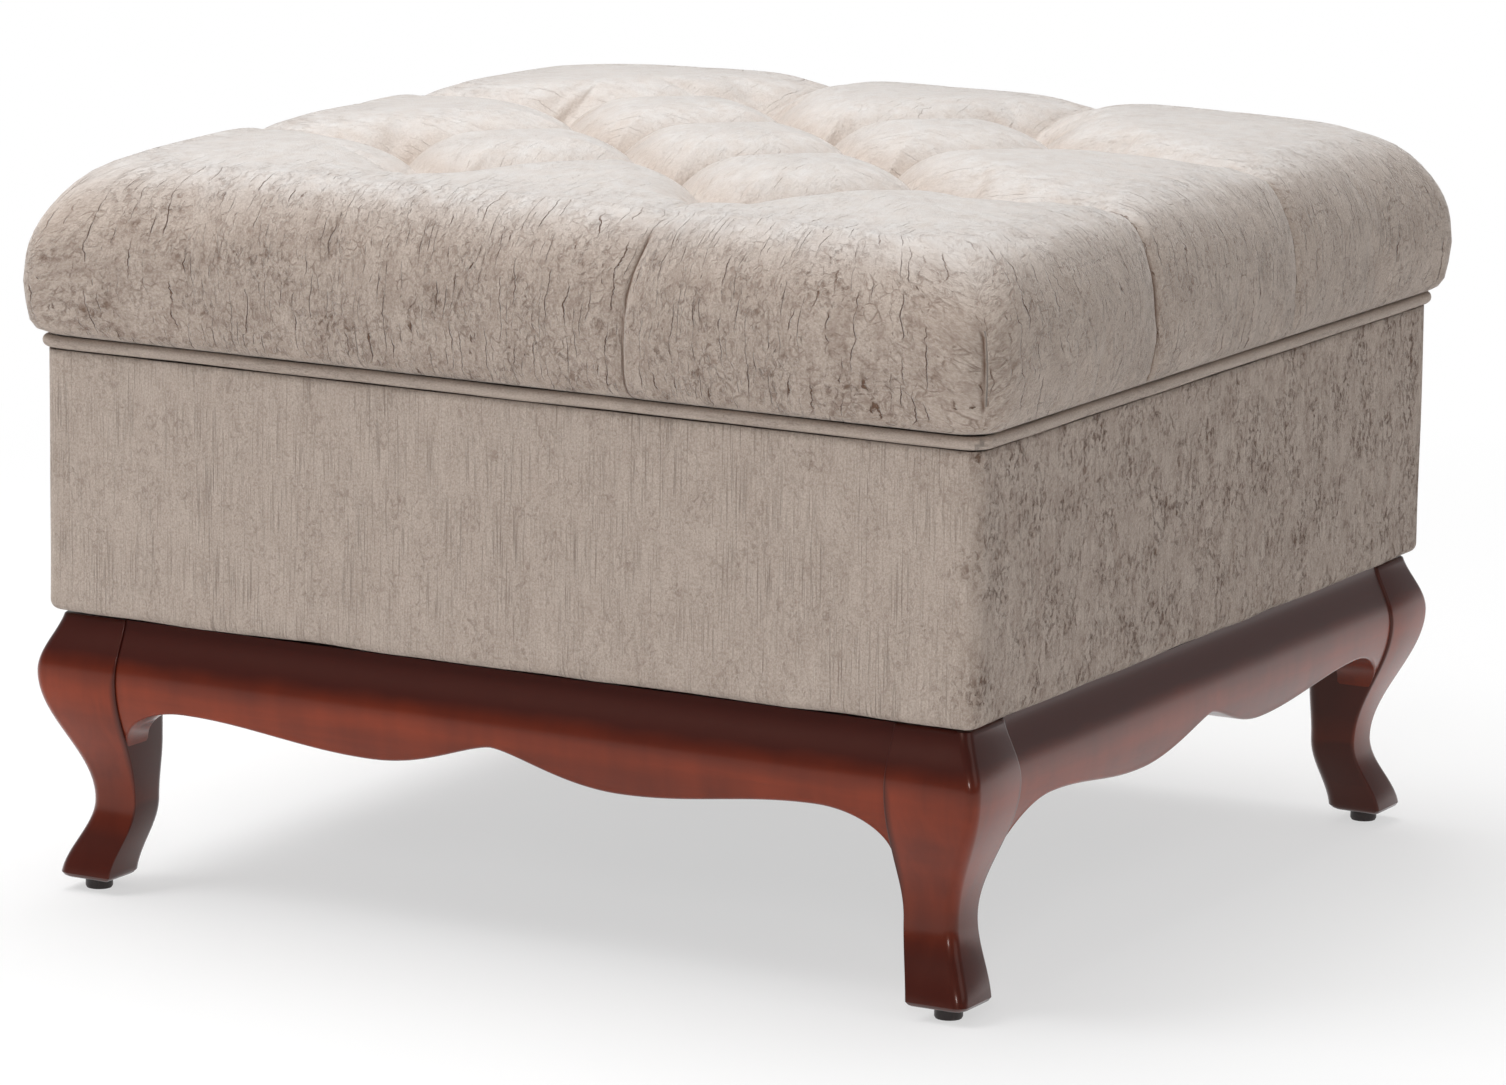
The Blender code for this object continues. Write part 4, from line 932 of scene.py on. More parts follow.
piping_velvet = velvet_material("piping_velvet", 0.35, 0.0, 0.45, 0.25, 0.42)
piping_points = []
for (x, y), way in ring_points(HALF_BODY - PIPING_INSET, BOX_CORNER_RADIUS, 8, PIPING_STEP):
    from_corner = (abs(x) - abs(y)) / CORNER_PINCH_WIDTH
    pinch = math.exp(-(from_corner ** 2)) if min(abs(x), abs(y)) > HALF_BODY / 2 else 0.0
    out = CORNER_PINCH_OUT * pinch
    piping_points.append((x + way[0] * out, y + way[1] * out, PIPING_HEIGHT + CORNER_PINCH_UP * pinch))
piping_edges = [(i, (i + 1) % len(piping_points)) for i in range(len(piping_points))]
piping_path = new_object("piping_path", plain_mesh("piping_path", piping_points, piping_edges, []))
piping_mesh = run_tree(piping_path, make_piping_tree(), {"Finish": piping_velvet})
piping_mesh.shade_smooth()
piping_x, piping_y, piping_z = coordinates(piping_mesh).T
piping_run = np.where(np.abs(piping_x) > np.abs(piping_y), piping_y, piping_x)
# Painted shade on the cord: on its top, in the shadow of the cushion's lip, and on its underside, against the
# box
over = np.clip((piping_z - PIPING_HEIGHT - 0.0016) / 0.0014, 0, 1) * 0.30
under = np.clip((PIPING_HEIGHT - 0.0020 - piping_z) / 0.0012, 0, 1) * 0.40
lay_cloth(piping_mesh, np.column_stack((piping_z * 2, piping_run)), crease_shade=over + under)
add_piece("piping", piping_mesh, None, ["welt_cord"])


# Foam core: a block of cream upholstery foam on the deck, with eased edges, that fills the cushion.
# Its foot is narrower, to leave room for the cover's hem.
FOAM_HALF, FOAM_FOOT_HALF = 0.304, 0.2941
FOAM_BOTTOM, FOAM_FOOT_TOP, FOAM_TOP = 0.3225, 0.3292, 0.3945
FOAM_EDGE = 0.020
foam = spotted_material(
    "cushion_foam",
    ((0.06, 0.06, 0.06),),
    (0.78, 0.70, 0.48),
    (0.88, 0.83, 0.66),
    0.95,
    raised=lambda place, tone: cells(place, 700.0),
    depth=0.0006,
)
foam_levels = [(FOAM_FOOT_HALF, FOAM_BOTTOM)]
for share in (0, 0.33, 0.67, 1.0):
    half = FOAM_FOOT_HALF + (FOAM_HALF - FOAM_FOOT_HALF) * share
    foam_levels.append((half, FOAM_FOOT_TOP + FOAM_EDGE * share))
foam_levels += arc(FOAM_HALF - FOAM_EDGE, FOAM_TOP - FOAM_EDGE, FOAM_EDGE, 0, 90, 6)
foam_rings = [level_ring(half, FOAM_EDGE, height) for half, height in foam_levels]
foam_core = add_piece("foam_block", skin("foam_block", foam_rings), foam, ["foam_core"])


# Tufted cover: one square of the same velvet over the foam. Twelve buttons on a diamond grid pull it down
# into folds, straight pleats run from the outer buttons to the edges, and its hem is stapled to the deck.
TUFT_PITCH = 0.0915
TUFT_SHIFT = -0.008
TUFT_ROWS = (2, 3, 2, 3, 2)
CREST_HEIGHT = 0.4377
CROWN = 0.006
TUCK_HEIGHT = 0.3277
OVERHANG = 0.0165
EDGE_ROLL = 0.046
CUSHION_CORNER_RADIUS, CUSHION_RIM_RADIUS = 0.024, 0.046
CORNER_DROP = 0.008
HEM_HALF = 0.2962
HEM_BOTTOM = 0.3140
WIDEST_HALF = HALF_BODY + OVERHANG
TOP_HALF = WIDEST_HALF - EDGE_ROLL
ROLL_STATIONS = ((0.046, 0.104), (0.023, 0.0952), (0.0087, 0.0781), (0.0014, 0.0583), (0, 0.0352))
TUCK_STATIONS = ((0, 0.0352), (0.0033, 0.0110), (0.0090, 0.0036), (0.01485, 0.0013))
LINES_PER_PITCH = 14
LINES_CROWDED = 0.62
FAN_FROM = 0.195
START_LOWER, START_NARROWER = 0.0025, 0.0015
FOLD_DEPTH, EDGE_FOLD_DEPTH, FOLD_REACH = 0.022, 0.016, 0.062
PIT_DEPTH, PIT_REACH = 0.012, 0.078
PLEAT_DEPTH, PLEAT_REACH, PLEAT_END = 0.007, 0.034, 0.34
SIM_FRAMES, SIM_MOST = 20, 0.005
HELD_AT_BUTTON, HELD_AT_SEAM = 0.006, 0.004
RUBBED_FROM = 0.235
# Lines of the two pleats on each side, and how far each is drawn in: by axis and sign of the side
FIRST_PLEAT, SECOND_PLEAT = TUFT_SHIFT - TUFT_PITCH, TUFT_SHIFT + TUFT_PITCH
PLEAT_SHARES = {(1, -1): (0.04, 0.13), (0, 1): (0.55, 0.65), (1, 1): (0.6, 0.5), (0, -1): (0.5, 0.6)}

tufts = []
for row, count in enumerate(TUFT_ROWS):
    for i in range(count):
        tufts.append(((2 * i - count + 1) * TUFT_PITCH + TUFT_SHIFT, (row - 2) * TUFT_PITCH + TUFT_SHIFT))
diagonals = [
    (i, j)
    for i in range(len(tufts))
    for j in range(i + 1, len(tufts))
    if all(abs(abs(tufts[i][k] - tufts[j][k]) - TUFT_PITCH) < 0.001 for k in (0, 1))
]
pleat_ends = []
for x, y in tufts:
    if abs(y) > 1.5 * TUFT_PITCH:
        pleat_ends += [(x, y), (x, math.copysign(PLEAT_END, y))]
    if abs(x) > 1.5 * TUFT_PITCH:
        pleat_ends += [(x, y), (math.copysign(PLEAT_END, x), y)]
pleat_edges = [(i, i + 1) for i in range(0, len(pleat_ends), 2)]


def make_tufting_tree():
    """Geometry nodes that pull a plain cushion down along its folds and pits, and in along its pleats."""
    inputs = {"Geometry": "Geometry", "Diagonal folds": "Object", "Pleats": "Object", "Buttons": "Object"}
    inputs |= {"Fold depth": FOLD_DEPTH, "Edge fold depth": EDGE_FOLD_DEPTH, "Fold reach": FOLD_REACH}
    inputs |= {"Pit depth": PIT_DEPTH, "Pit reach": PIT_REACH}
    inputs |= {"Pleat depth": PLEAT_DEPTH, "Pleat reach": PLEAT_REACH, "Finish": "Material"}
    tree, given, result = new_group("tufting", "GeometryNodeTree", inputs, {"Geometry": "Geometry"})
    place = put(tree, "GeometryNodeInputPosition").outputs[0]
    plan = vector(tree, "MULTIPLY", {0: place, 1: (1, 1, 0)})

    def pull(lines, element, reach, depth):
        """Depth times a cubed fall from 1 on the lines to 0 at their reach."""
        target = put(tree, "GeometryNodeObjectInfo", {"Object": given[lines]}).outputs["Geometry"]
        search = {"Geometry": target, "Sample Position": plan}
        near = put(tree, "GeometryNodeProximity", search, target_element=element).outputs["Distance"]
        share = work_out("MINIMUM", work_out("DIVIDE", near, given[reach]), 1.0)
        return times(work_out("POWER", work_out("SUBTRACT", 1.0, share), 3.0), given[depth])

    def stored(name, kind="FLOAT"):
        return put(tree, "GeometryNodeInputNamedAttribute", {"Name": name}, data_type=kind).outputs[0]

    folds = pull("Diagonal folds", "EDGES", "Fold reach", "Fold depth")
    pits = pull("Buttons", "POINTS", "Pit reach", "Pit depth")
    edge_folds = times(pull("Pleats", "EDGES", "Fold reach", "Edge fold depth"), stored("pleat_share"))
    pleats = times(pull("Pleats", "EDGES", "Pleat reach", "Pleat depth"), stored("pleat_share"))
    down = work_out("ADD", greatest(folds, edge_folds), pits)
    sunk = put(tree, "ShaderNodeCombineXYZ", {"Z": times(down, times(stored("top_share"), -1.0))}).outputs[0]
    drawn = vector(tree, "SCALE", {0: stored("inward", "FLOAT_VECTOR"), "Scale": pleats})
    moving = {"Geometry": given["Geometry"], "Offset": vector(tree, "ADD", {0: sunk, 1: drawn})}
    finish_geometry(put(tree, "GeometryNodeSetPosition", moving).outputs[0], given, result)
    return tree


TUFTING = make_tufting_tree()
cushion_velvet = velvet_material("cushion_velvet", 0.12, 1.30, 0.74, 0.60, 0.30)


def between(values, axis=0, closed=False):
    """The values with their midpoints put in between them."""
    values = np.moveaxis(np.asarray(values, dtype=float), axis, 0)
    following = np.roll(values, -1, axis=0)
    both = np.stack((values, (values + following) / 2), axis=1).reshape((-1,) + values.shape[1:])
    return np.moveaxis(both if closed else both[:-1], 0, axis)


def crowded(shares):
    """Shares of a run from 0 to 1, moved towards its ends."""
    return shares - LINES_CROWDED * np.sin(2 * math.pi * shares) / (2 * math.pi)


def grid_lines():
    """Lines across the cushion's top: through every button, and closest together beside them."""
    ends = [k * TUFT_PITCH + TUFT_SHIFT for k in range(-2, 3)]
    lines = [ends[-1]]
    outer = crowded(np.linspace(0, 1, LINES_PER_PITCH + 1))[1:]
    for edge, tuft in ((-TOP_HALF, ends[0]), (TOP_HALF, ends[-1])):
        lines += list(tuft + (edge - tuft) * outer)
    for start in ends[:-1]:
        lines += list(start + TUFT_PITCH * crowded(np.arange(LINES_PER_PITCH) / LINES_PER_PITCH))
    return np.array(sorted(lines))


def smooth_run(stations, count):
    """Points along a smooth line through (inset, rise) stations."""
    stations = np.array(stations)
    padded = np.vstack((2 * stations[0] - stations[1], stations, 2 * stations[-1] - stations[-2]))
    points = []
    for i in range(1, len(padded) - 2):
        a, b, c, d = padded[i - 1:i + 3]
        for t in np.arange(count) / count:
            bend = (2 * a - 5 * b + 4 * c - d) * t ** 2 + (3 * b - a - 3 * c + d) * t ** 3
            points.append(((2 * b) + (c - a) * t + bend) / 2)
    return points + [stations[-1]]


def soften_corner(points, half, radius):
    """Move points of a square outline into its rounded corners."""
    past = np.abs(points) - (half - radius)
    both = (past > 0).all(axis=1)
    reach = np.hypot(past[:, 0], past[:, 1])
    shrink = np.where(both, past.max(axis=1) / np.where(both, reach, 1), 1)
    moved = half - radius + past * shrink[:, None]
    return np.where(both[:, None], np.copysign(moved, points), points)


def rim_points(count):
    """Indices of the points round the rim of a square grid."""
    last = count - 1
    first_sides = [i * count for i in range(last)] + [last * count + j for j in range(last)]
    other_sides = [i * count + last for i in range(last, 0, -1)] + list(range(last, 0, -1))
    return np.array(first_sides + other_sides)


def corner_share(points):
    """How near points are to a corner of the stool, 1 at the corner of its body."""
    return np.prod((points / HALF_BODY) ** 4, axis=1)


def plain_cushion(lines, profile):
    """Cushion before tufting: places, faces, cloth places (front, side), top share and inward pull."""
    count = len(lines)
    grid = np.stack(np.meshgrid(lines, lines, indexing="ij"), axis=-1).reshape(-1, 2)
    plan = soften_corner(grid, TOP_HALF, CUSHION_RIM_RADIUS)
    rim = rim_points(count)
    square = grid[rim]
    way = np.where(np.abs(np.abs(square) - TOP_HALF) < 1e-9, np.sign(square), 0.0)
    spread = way / np.linalg.norm(way, axis=1)[:, None]
    crown = CROWN * np.prod(1 - (plan / HALF_BODY) ** 2, axis=1)
    height = CREST_HEIGHT - START_LOWER - CROWN + np.maximum(crown, 0) - CORNER_DROP * corner_share(plan)
    front_way = np.where(way[:, 1:] != 0, way * (0, 1), way)
    side_way = np.where(way[:, :1] != 0, way * (1, 0), way)
    places, cloth = [np.column_stack((plan, height))], [np.hstack((plan, plan[:, ::-1]))]
    top_share, inward = [np.ones(len(plan))], [np.zeros((len(plan), 3))]
    faces = grid_faces(count, count)
    upper = rim
    run = 0.0
    depth = profile[0][1]
    for level, ((inset, rise), (next_inset, next_rise)) in enumerate(zip(profile, profile[1:])):
        run += math.hypot(next_inset - inset, next_rise - rise)
        half = WIDEST_HALF - START_NARROWER - next_inset
        share = max(next_rise, 0) / depth
        fan = (half - FAN_FROM) / (TOP_HALF - FAN_FROM)
        away = np.abs(square)
        wide = np.copysign(np.where(away > FAN_FROM, FAN_FROM + (away - FAN_FROM) * fan, away), square)
        radius = CUSHION_CORNER_RADIUS + (CUSHION_RIM_RADIUS - CUSHION_CORNER_RADIUS) * share ** 2
        side = soften_corner(wide, half, radius - 0.5 * next_inset * (1 - share))
        edge_crown = max(height[rim].mean() - TUCK_HEIGHT - depth, 0) * share ** 4
        corner_drop = share * CORNER_DROP * np.minimum(corner_share(side), 1.4)
        places.append(np.column_stack((side, TUCK_HEIGHT + next_rise + edge_crown - corner_drop)))
        cloth.append(np.hstack((plan[rim] + front_way * run, (plan[rim] + side_way * run)[:, ::-1])))
        top_share.append(np.full(len(rim), max(1 - run / 0.055, 0) ** 1.5))
        inward.append(np.column_stack((-spread, np.zeros(len(rim)))) * share * min(run / 0.03, 1.0))
        lower = len(plan) + level * len(rim) + np.arange(len(rim))
        faces += np.column_stack((upper, lower, np.roll(lower, -1), np.roll(upper, -1))).tolist()
        upper = lower
    return np.vstack(places), faces, np.vstack(cloth), np.concatenate(top_share), np.vstack(inward)


def tuft(name, lines, profile):
    """Cushion tufted by the node tree, as a mesh, and its cloth places."""
    places, faces, cloth, top_share, inward = plain_cushion(lines, profile)
    mesh = plain_mesh(name, places.tolist(), [], faces)
    store(mesh, "top_share", top_share)
    store(mesh, "inward", inward, "FLOAT_VECTOR")
    kept = np.ones(len(places))
    for (axis, sign), shares in PLEAT_SHARES.items():
        beyond = np.clip((sign * places[:, axis] - 0.175) / 0.06, 0, 1)
        for line, share in zip((FIRST_PLEAT, SECOND_PLEAT), shares):
            near = np.clip(1.5 - np.abs(places[:, 1 - axis] - line) / TUFT_PITCH, 0, 1)
            kept *= 1 - (1 - share) * beyond * near
    store(mesh, "pleat_share", kept)
    values = {"Finish": cushion_velvet}
    for label, points, edges in (
        ("Diagonal folds", tufts, diagonals),
        ("Pleats", pleat_ends, pleat_edges),
        ("Buttons", tufts, []),
    ):
        values[label] = new_object(label, plain_mesh(label, [(x, y, 0) for x, y in points], edges, []))
    made = run_tree(new_object(name, mesh), TUFTING, values)
    for label in ("Diagonal folds", "Pleats", "Buttons"):
        bpy.data.objects.remove(values[label])
    return made, cloth


def cloth_pass(mesh, frames, cap):
    """Let the air inside press the cover out between its buttons and its seam; returns its capped moves."""
    piece = new_object("cushion_cloth", mesh)
    still = coordinates(mesh)
    plan = still[:, :2]
    near = np.min([np.hypot(plan[:, 0] - x, plan[:, 1] - y) for x, y in tufts], axis=0)
    held = (near < HELD_AT_BUTTON) | (still[:, 2] < TUCK_HEIGHT + HELD_AT_SEAM)
    piece.vertex_groups.new(name="held").add(np.nonzero(held)[0].tolist(), 1.0, "REPLACE")
    modifier = piece.modifiers.new("cloth", "CLOTH")
    setup = modifier.settings
    setup.quality = 6
    setup.mass = 0.25
    setup.tension_stiffness = 22
    setup.compression_stiffness = 18
    setup.shear_stiffness = 8
    setup.bending_stiffness = 0.9
    setup.vertex_group_mass = "held"
    setup.use_pressure = True
    setup.uniform_pressure_force = 3.0
    setup.shrink_min = -0.035
    setup.effector_weights.gravity = 0.0
    modifier.point_cache.frame_start = 1
    modifier.point_cache.frame_end = frames
    for number in range(1, frames + 1):
        bpy.context.scene.frame_set(number)
    graph = bpy.context.evaluated_depsgraph_get()
    move = coordinates(piece.evaluated_get(graph).data) - still
    bpy.context.scene.frame_set(1)
    bpy.data.objects.remove(piece)
    size = np.linalg.norm(move, axis=1)
    freedom = 0.35 + 0.65 * np.clip((0.265 - np.abs(plan).max(axis=1)) / 0.07, 0, 1)
    return move * (freedom * cap * np.tanh(size / cap) / np.maximum(size, 1e-9))[:, None]


coarse_profile = smooth_run(ROLL_STATIONS, 3) + smooth_run(TUCK_STATIONS, 2)[1:]
coarse_lines = grid_lines()
fine_lines = between(coarse_lines)
cushion_mesh, cushion_cloth = tuft("cushion", fine_lines, between(coarse_profile))
cushion_places = coordinates(cushion_mesh)
coarse_mesh = tuft("cushion_start", coarse_lines, coarse_profile)[0]
moves = cloth_pass(coarse_mesh, SIM_FRAMES, SIM_MOST)
across = len(coarse_lines)
top_moves = moves[:across * across].reshape(across, across, 3)
depths = coordinates(coarse_mesh)[:across * across, 2].reshape(across, across)
valley = (depths[:-1, :-1] + depths[1:, 1:] <= depths[1:, :-1] + depths[:-1, 1:])[..., None]
rising = (top_moves[:-1, :-1] + top_moves[1:, 1:]) / 2
falling = (top_moves[1:, :-1] + top_moves[:-1, 1:]) / 2
top_moves = between(between(top_moves, 0), 1)
top_moves[1::2, 1::2] = np.where(valley, rising, falling)
side_moves = np.vstack((moves[rim_points(across)], moves[across * across:]))
side_moves = side_moves.reshape(len(coarse_profile), -1, 3)
side_moves = between(between(side_moves, 0), 1, closed=True)[1:]
cushion_places += np.vstack((top_moves.reshape(-1, 3), side_moves.reshape(-1, 3)))

# Creases pressed into the cover: down the pleats, as darts at the near corner, and as gathers at the buttons,
# each darkened with painted shade.
# Each has its side's axis and sign, its pleat, its depth and the darkness of its painted shade, and a path of
# (height, place along).
CREASES = (
    (1, -1, SECOND_PLEAT, 0.0009, 1.0, (0.428, 0.0975), (0.415, 0.0945), (0.400, 0.0912), (0.3745, 0.0892),
     (0.347, 0.0885), (0.328, 0.0905)),
    (0, 1, FIRST_PLEAT, 0.0019, 1.0, (0.428, -0.0995), (0.3995, -0.1080), (0.372, -0.1108), (0.355, -0.1084),
     (0.335, -0.1137)),
    (0, 1, SECOND_PLEAT, 0.0012, 0.2, (0.424, 0.0835), (0.4055, 0.0800), (0.380, 0.0780), (0.357, 0.0770)),
    (1, 1, FIRST_PLEAT, 0.0030, 0.7, (0.430, -0.0995), (0.395, -0.1040), (0.355, -0.1060), (0.330, -0.1040)),
    (1, 1, SECOND_PLEAT, 0.0024, 0.5, (0.430, 0.0835), (0.395, 0.0870), (0.355, 0.0900), (0.330, 0.0890)),
    (0, -1, SECOND_PLEAT, 0.0030, 0.7, (0.430, 0.0835), (0.395, 0.0790), (0.355, 0.0760), (0.330, 0.0790)),
    (0, -1, FIRST_PLEAT, 0.0024, 0.5, (0.430, -0.0995), (0.395, -0.0950), (0.355, -0.0960), (0.330, -0.0990)),
    (1, -1, None, 0.0016, 1.0, (0.396, 0.2985), (0.384, 0.3044), (0.374, 0.3066), (0.364, 0.3075),
     (0.345, 0.3064)),
    (1, -1, None, 0.0008, 0.5, (0.374, 0.2830), (0.364, 0.2860), (0.352, 0.2875)),
    (1, -1, None, 0.0014, 0.8, (0.368, 0.2320), (0.352, 0.2360), (0.335, 0.2420)),
)
CREASE_WIDTH, CREASE_WANDER = 0.0022, 0.0011
# Painted shade along the diagonal fold lines, and painted shade in the gathers at the buttons
FOLD_LINE_WIDTH, FOLD_LINE_PAINTED_SHADE = 0.0013, 0.20
GATHERS_PER_BUTTON = 8
GATHER_LENGTH, GATHER_DEPTH, GATHER_BEND = (0.016, 0.042), (0.0006, 0.0018), 9
GATHER_WIDTH, GATHER_PAINTED_SHADE = 0.0018, 210


def hill(distance, width):
    """Smooth fall from 1 at no distance, to a third at the width."""
    return np.exp(-((distance / width) ** 2))


top_count = len(fine_lines) ** 2
cushion_crease_shade = np.zeros(len(cushion_places))
for axis, sign, pleat, depth, darkness, *path in CREASES:
    levels, along = np.array(path[::-1]).T
    heights = cushion_places[:, 2]
    line = np.interp(heights, levels, along)
    on_side = np.clip((sign * cushion_places[:, axis] - 0.25) / 0.03, 0, 1)
    if pleat is not None:
        near = hill(cushion_places[:, 1 - axis] - pleat, 0.030)
        cushion_places[:, 1 - axis] += (line - pleat) * near * on_side
    wander = CREASE_WANDER * np.array([waver(pleat or 0.3, 3.0 * axis, z * 130) for z in heights])
    gap = cushion_places[:, 1 - axis] - line - wander
    ends = [levels[0] - 0.004, levels[0], levels[-1] - 0.012, levels[-1]]
    shown = np.interp(heights, ends, [0, 1, 1, 0]) * on_side
    cushion_places[:, axis] -= sign * depth * shown * hill(gap, CREASE_WIDTH)
    # Painted shade down each one, off to one side on the side faces and fading out towards its top
    off, width, fade = (0.0006, 0.0014, 0.040) if axis == 0 else (0.0, 0.0009, 0.006)
    dark = darkness * shown * np.clip((levels[-1] - heights) / fade, 0, 1)
    cushion_crease_shade = np.maximum(cushion_crease_shade, dark * hill(gap - off, width))
top_plan = cushion_places[:top_count, :2]
# Painted shade along the diagonal folds between the buttons
for i, j in diagonals:
    start = np.array(tufts[i])
    way = np.array(tufts[j]) - start
    along = np.clip((top_plan - start) @ way / (2 * TUFT_PITCH ** 2), 0, 1)
    away = np.linalg.norm(top_plan - start - along[:, None] * way, axis=1)
    fold_shade_line = FOLD_LINE_PAINTED_SHADE * hill(away, FOLD_LINE_WIDTH)
    cushion_crease_shade[:top_count] = np.maximum(cushion_crease_shade[:top_count], fold_shade_line)
chance = np.random.default_rng(11)
# Gathers round each button: small furrows beside a low ridge, with painted shade in the furrows
for tuft_x, tuft_y in tufts:
    away_x, away_y = cushion_places[:, 0] - tuft_x, cushion_places[:, 1] - tuft_y
    for number in range(GATHERS_PER_BUTTON):
        angle = 2 * math.pi * (number + chance.uniform(0.1, 0.9)) / GATHERS_PER_BUTTON
        length, depth = chance.uniform(*GATHER_LENGTH), chance.uniform(*GATHER_DEPTH)
        bend = chance.uniform(-GATHER_BEND, GATHER_BEND)
        along = away_x * math.cos(angle) + away_y * math.sin(angle)
        across = away_y * math.cos(angle) - away_x * math.sin(angle) - bend * along ** 2
        shown = np.clip((along - 0.005) / 0.006, 0, 1) * np.clip(1 - along / length, 0, 1)
        shown[top_count:] = 0
        furrow = hill(across, GATHER_WIDTH)
        cushion_places[:, 2] += depth * shown * (0.5 * hill(across - 0.0042, 0.0026) - furrow)
        cushion_crease_shade = np.maximum(cushion_crease_shade, GATHER_PAINTED_SHADE * depth * shown * furrow)
cushion_mesh.vertices.foreach_set("co", cushion_places.ravel())
cushion_mesh.update()


def hem_and_split(mesh, rim_count):
    """Split each top quad along its valley, and carry the cover under and down to its hem."""
    work = bmesh.new()
    work.from_mesh(mesh)
    work.verts.ensure_lookup_table()
    for face in list(work.faces):
        a, b, c, d = face.verts
        if max(v.index for v in face.verts) < top_count:
            pair = (a, c) if a.co.z + c.co.z <= b.co.z + d.co.z else (b, d)
            bmesh.utils.face_split(face, *pair)
    work.verts.ensure_lookup_table()
    upper = work.verts[-rim_count:]
    for height in (TUCK_HEIGHT + 0.0010, HEM_BOTTOM):
        lower = []
        for vert in upper:
            x, y = vert.co.x, vert.co.y
            size = max(abs(x), abs(y))
            lower.append(work.verts.new((x * HEM_HALF / size, y * HEM_HALF / size, height)))
        for k in range(rim_count):
            n = (k + 1) % rim_count
            work.faces.new((upper[k], lower[k], lower[n], upper[n]))
        upper = lower
    bmesh.ops.recalc_face_normals(work, faces=work.faces)
    work.to_mesh(mesh)
    work.free()


rim_count = 4 * (len(fine_lines) - 1)
hem_and_split(cushion_mesh, rim_count)
cushion_mesh.shade_smooth()
hem_rows = np.tile(cushion_cloth[-rim_count:], (2, 1))
cushion_cloth = np.vstack((cushion_cloth, hem_rows))
# The hem rows, tucked under the cushion, get painted shade
cushion_crease_shade = np.concatenate((cushion_crease_shade, np.full(len(hem_rows), 0.6)))
# Rubbed: down the front and back, and less down the other two sides. Painted sheen: high parts that look up
# are painted paler, as the light glances off them
beyond = np.abs(cushion_cloth) - RUBBED_FROM
front_rub = np.clip(beyond[:, 1] / 0.10, 0, 1) ** 1.05
side_rub = np.clip(beyond[:, 3] / 0.08, 0, 1) * 0.78
cushion_rub = 0.26 + 0.84 * np.maximum(front_rub, side_rub)
up = np.zeros(len(cushion_mesh.vertices) * 3)
cushion_mesh.vertices.foreach_get("normal", up)
heights = coordinates(cushion_mesh)[:, 2]
cushion_painted_sheen = np.clip((up[2::3] - 0.28) / 0.68, 0, 1) ** 1.4 * np.clip((heights - 0.391) / 0.039, 0, 1)
front_cloth, side_cloth = cushion_cloth[:, :2], cushion_cloth[:, 2:]
lay_cloth(cushion_mesh, front_cloth, cushion_rub, cushion_crease_shade, cushion_painted_sheen, side_cloth)
cushion = add_piece("tufted_cushion", cushion_mesh, cushion_velvet, ["tufted_cover"])
add_wall(cushion, COVER_CLOTH, -1.0)


# Buttons: twelve domed buttons covered in the same velvet, at the bottom of the pits. Each is tied through
# the foam with waxed twine to a knot under the deck.
BUTTON_RADIUS = 0.009
BUTTON_HEIGHT = 0.0055
BUTTON_LIFT = 0.0045
TWINE_RADIUS = 0.0012
DECK_BOTTOM = 0.3072
tuft_floor = []
for x, y in tufts:
    away = np.hypot(cushion_places[:top_count, 0] - x, cushion_places[:top_count, 1] - y)
    tuft_floor.append(cushion_places[np.argmin(away), 2])
button_profile = [
    (0, -0.004),
    (0.0016, -0.0038),
    (0.0022, -0.0006),
    (BUTTON_RADIUS * 0.80, 0.0),
    (BUTTON_RADIUS * 0.97, 0.0008),
    (BUTTON_RADIUS, 0.0020),
    (BUTTON_RADIUS * 0.95, 0.0032),
    (BUTTON_RADIUS * 0.80, 0.0044),
    (BUTTON_RADIUS * 0.55, 0.0051),
    (BUTTON_RADIUS * 0.28, 0.0054),
    (0, BUTTON_HEIGHT),
]
button_mesh = lathe("button", button_profile, 24)
lay_cloth(button_mesh, [(vert.co.x, vert.co.y) for vert in button_mesh.vertices])
button_velvet = velvet_material("button_velvet", 0.1, 0.2, 0.35, 1.0, 0.30)
button_places = [Matrix.Translation((x, y, floor + BUTTON_LIFT)) for (x, y), floor in zip(tufts, tuft_floor)]
buttons = set_at_places("tuft_buttons", button_mesh, button_velvet, button_places, 0.5, 0.03, 5)
button_nodes = ["tuft_button_%02d" % number for number in range(1, 13)]
add_piece("tuft_buttons", buttons, None, button_nodes)
strands = ((0.0006, 0.0006, 0.0016),)
waxed_twine = spotted_material("waxed_twine", strands, (0.42, 0.33, 0.20), (0.70, 0.60, 0.42), 0.6)
twine_top = min(tuft_floor) - 0.0005
knot_profile = [
    (0, DECK_BOTTOM - 0.0038),
    (TWINE_RADIUS * 1.6, DECK_BOTTOM - 0.0037),
    (0.0042, DECK_BOTTOM - 0.0026),
    (0.0044, DECK_BOTTOM - 0.0012),
    (0.0036, DECK_BOTTOM - 0.0003),
    (TWINE_RADIUS, DECK_BOTTOM - 0.0003),
    (TWINE_RADIUS, twine_top),
    (0, twine_top + 0.0004),
]
twine_places = [Matrix.Translation((x, y, 0)) for x, y in tufts]
twine_mesh = lathe("twine", knot_profile, 12)
twines = set_at_places("tuft_twines", twine_mesh, waxed_twine, twine_places, 0.5, 0.0, 9)
add_piece("tuft_twines", twines, None, [])


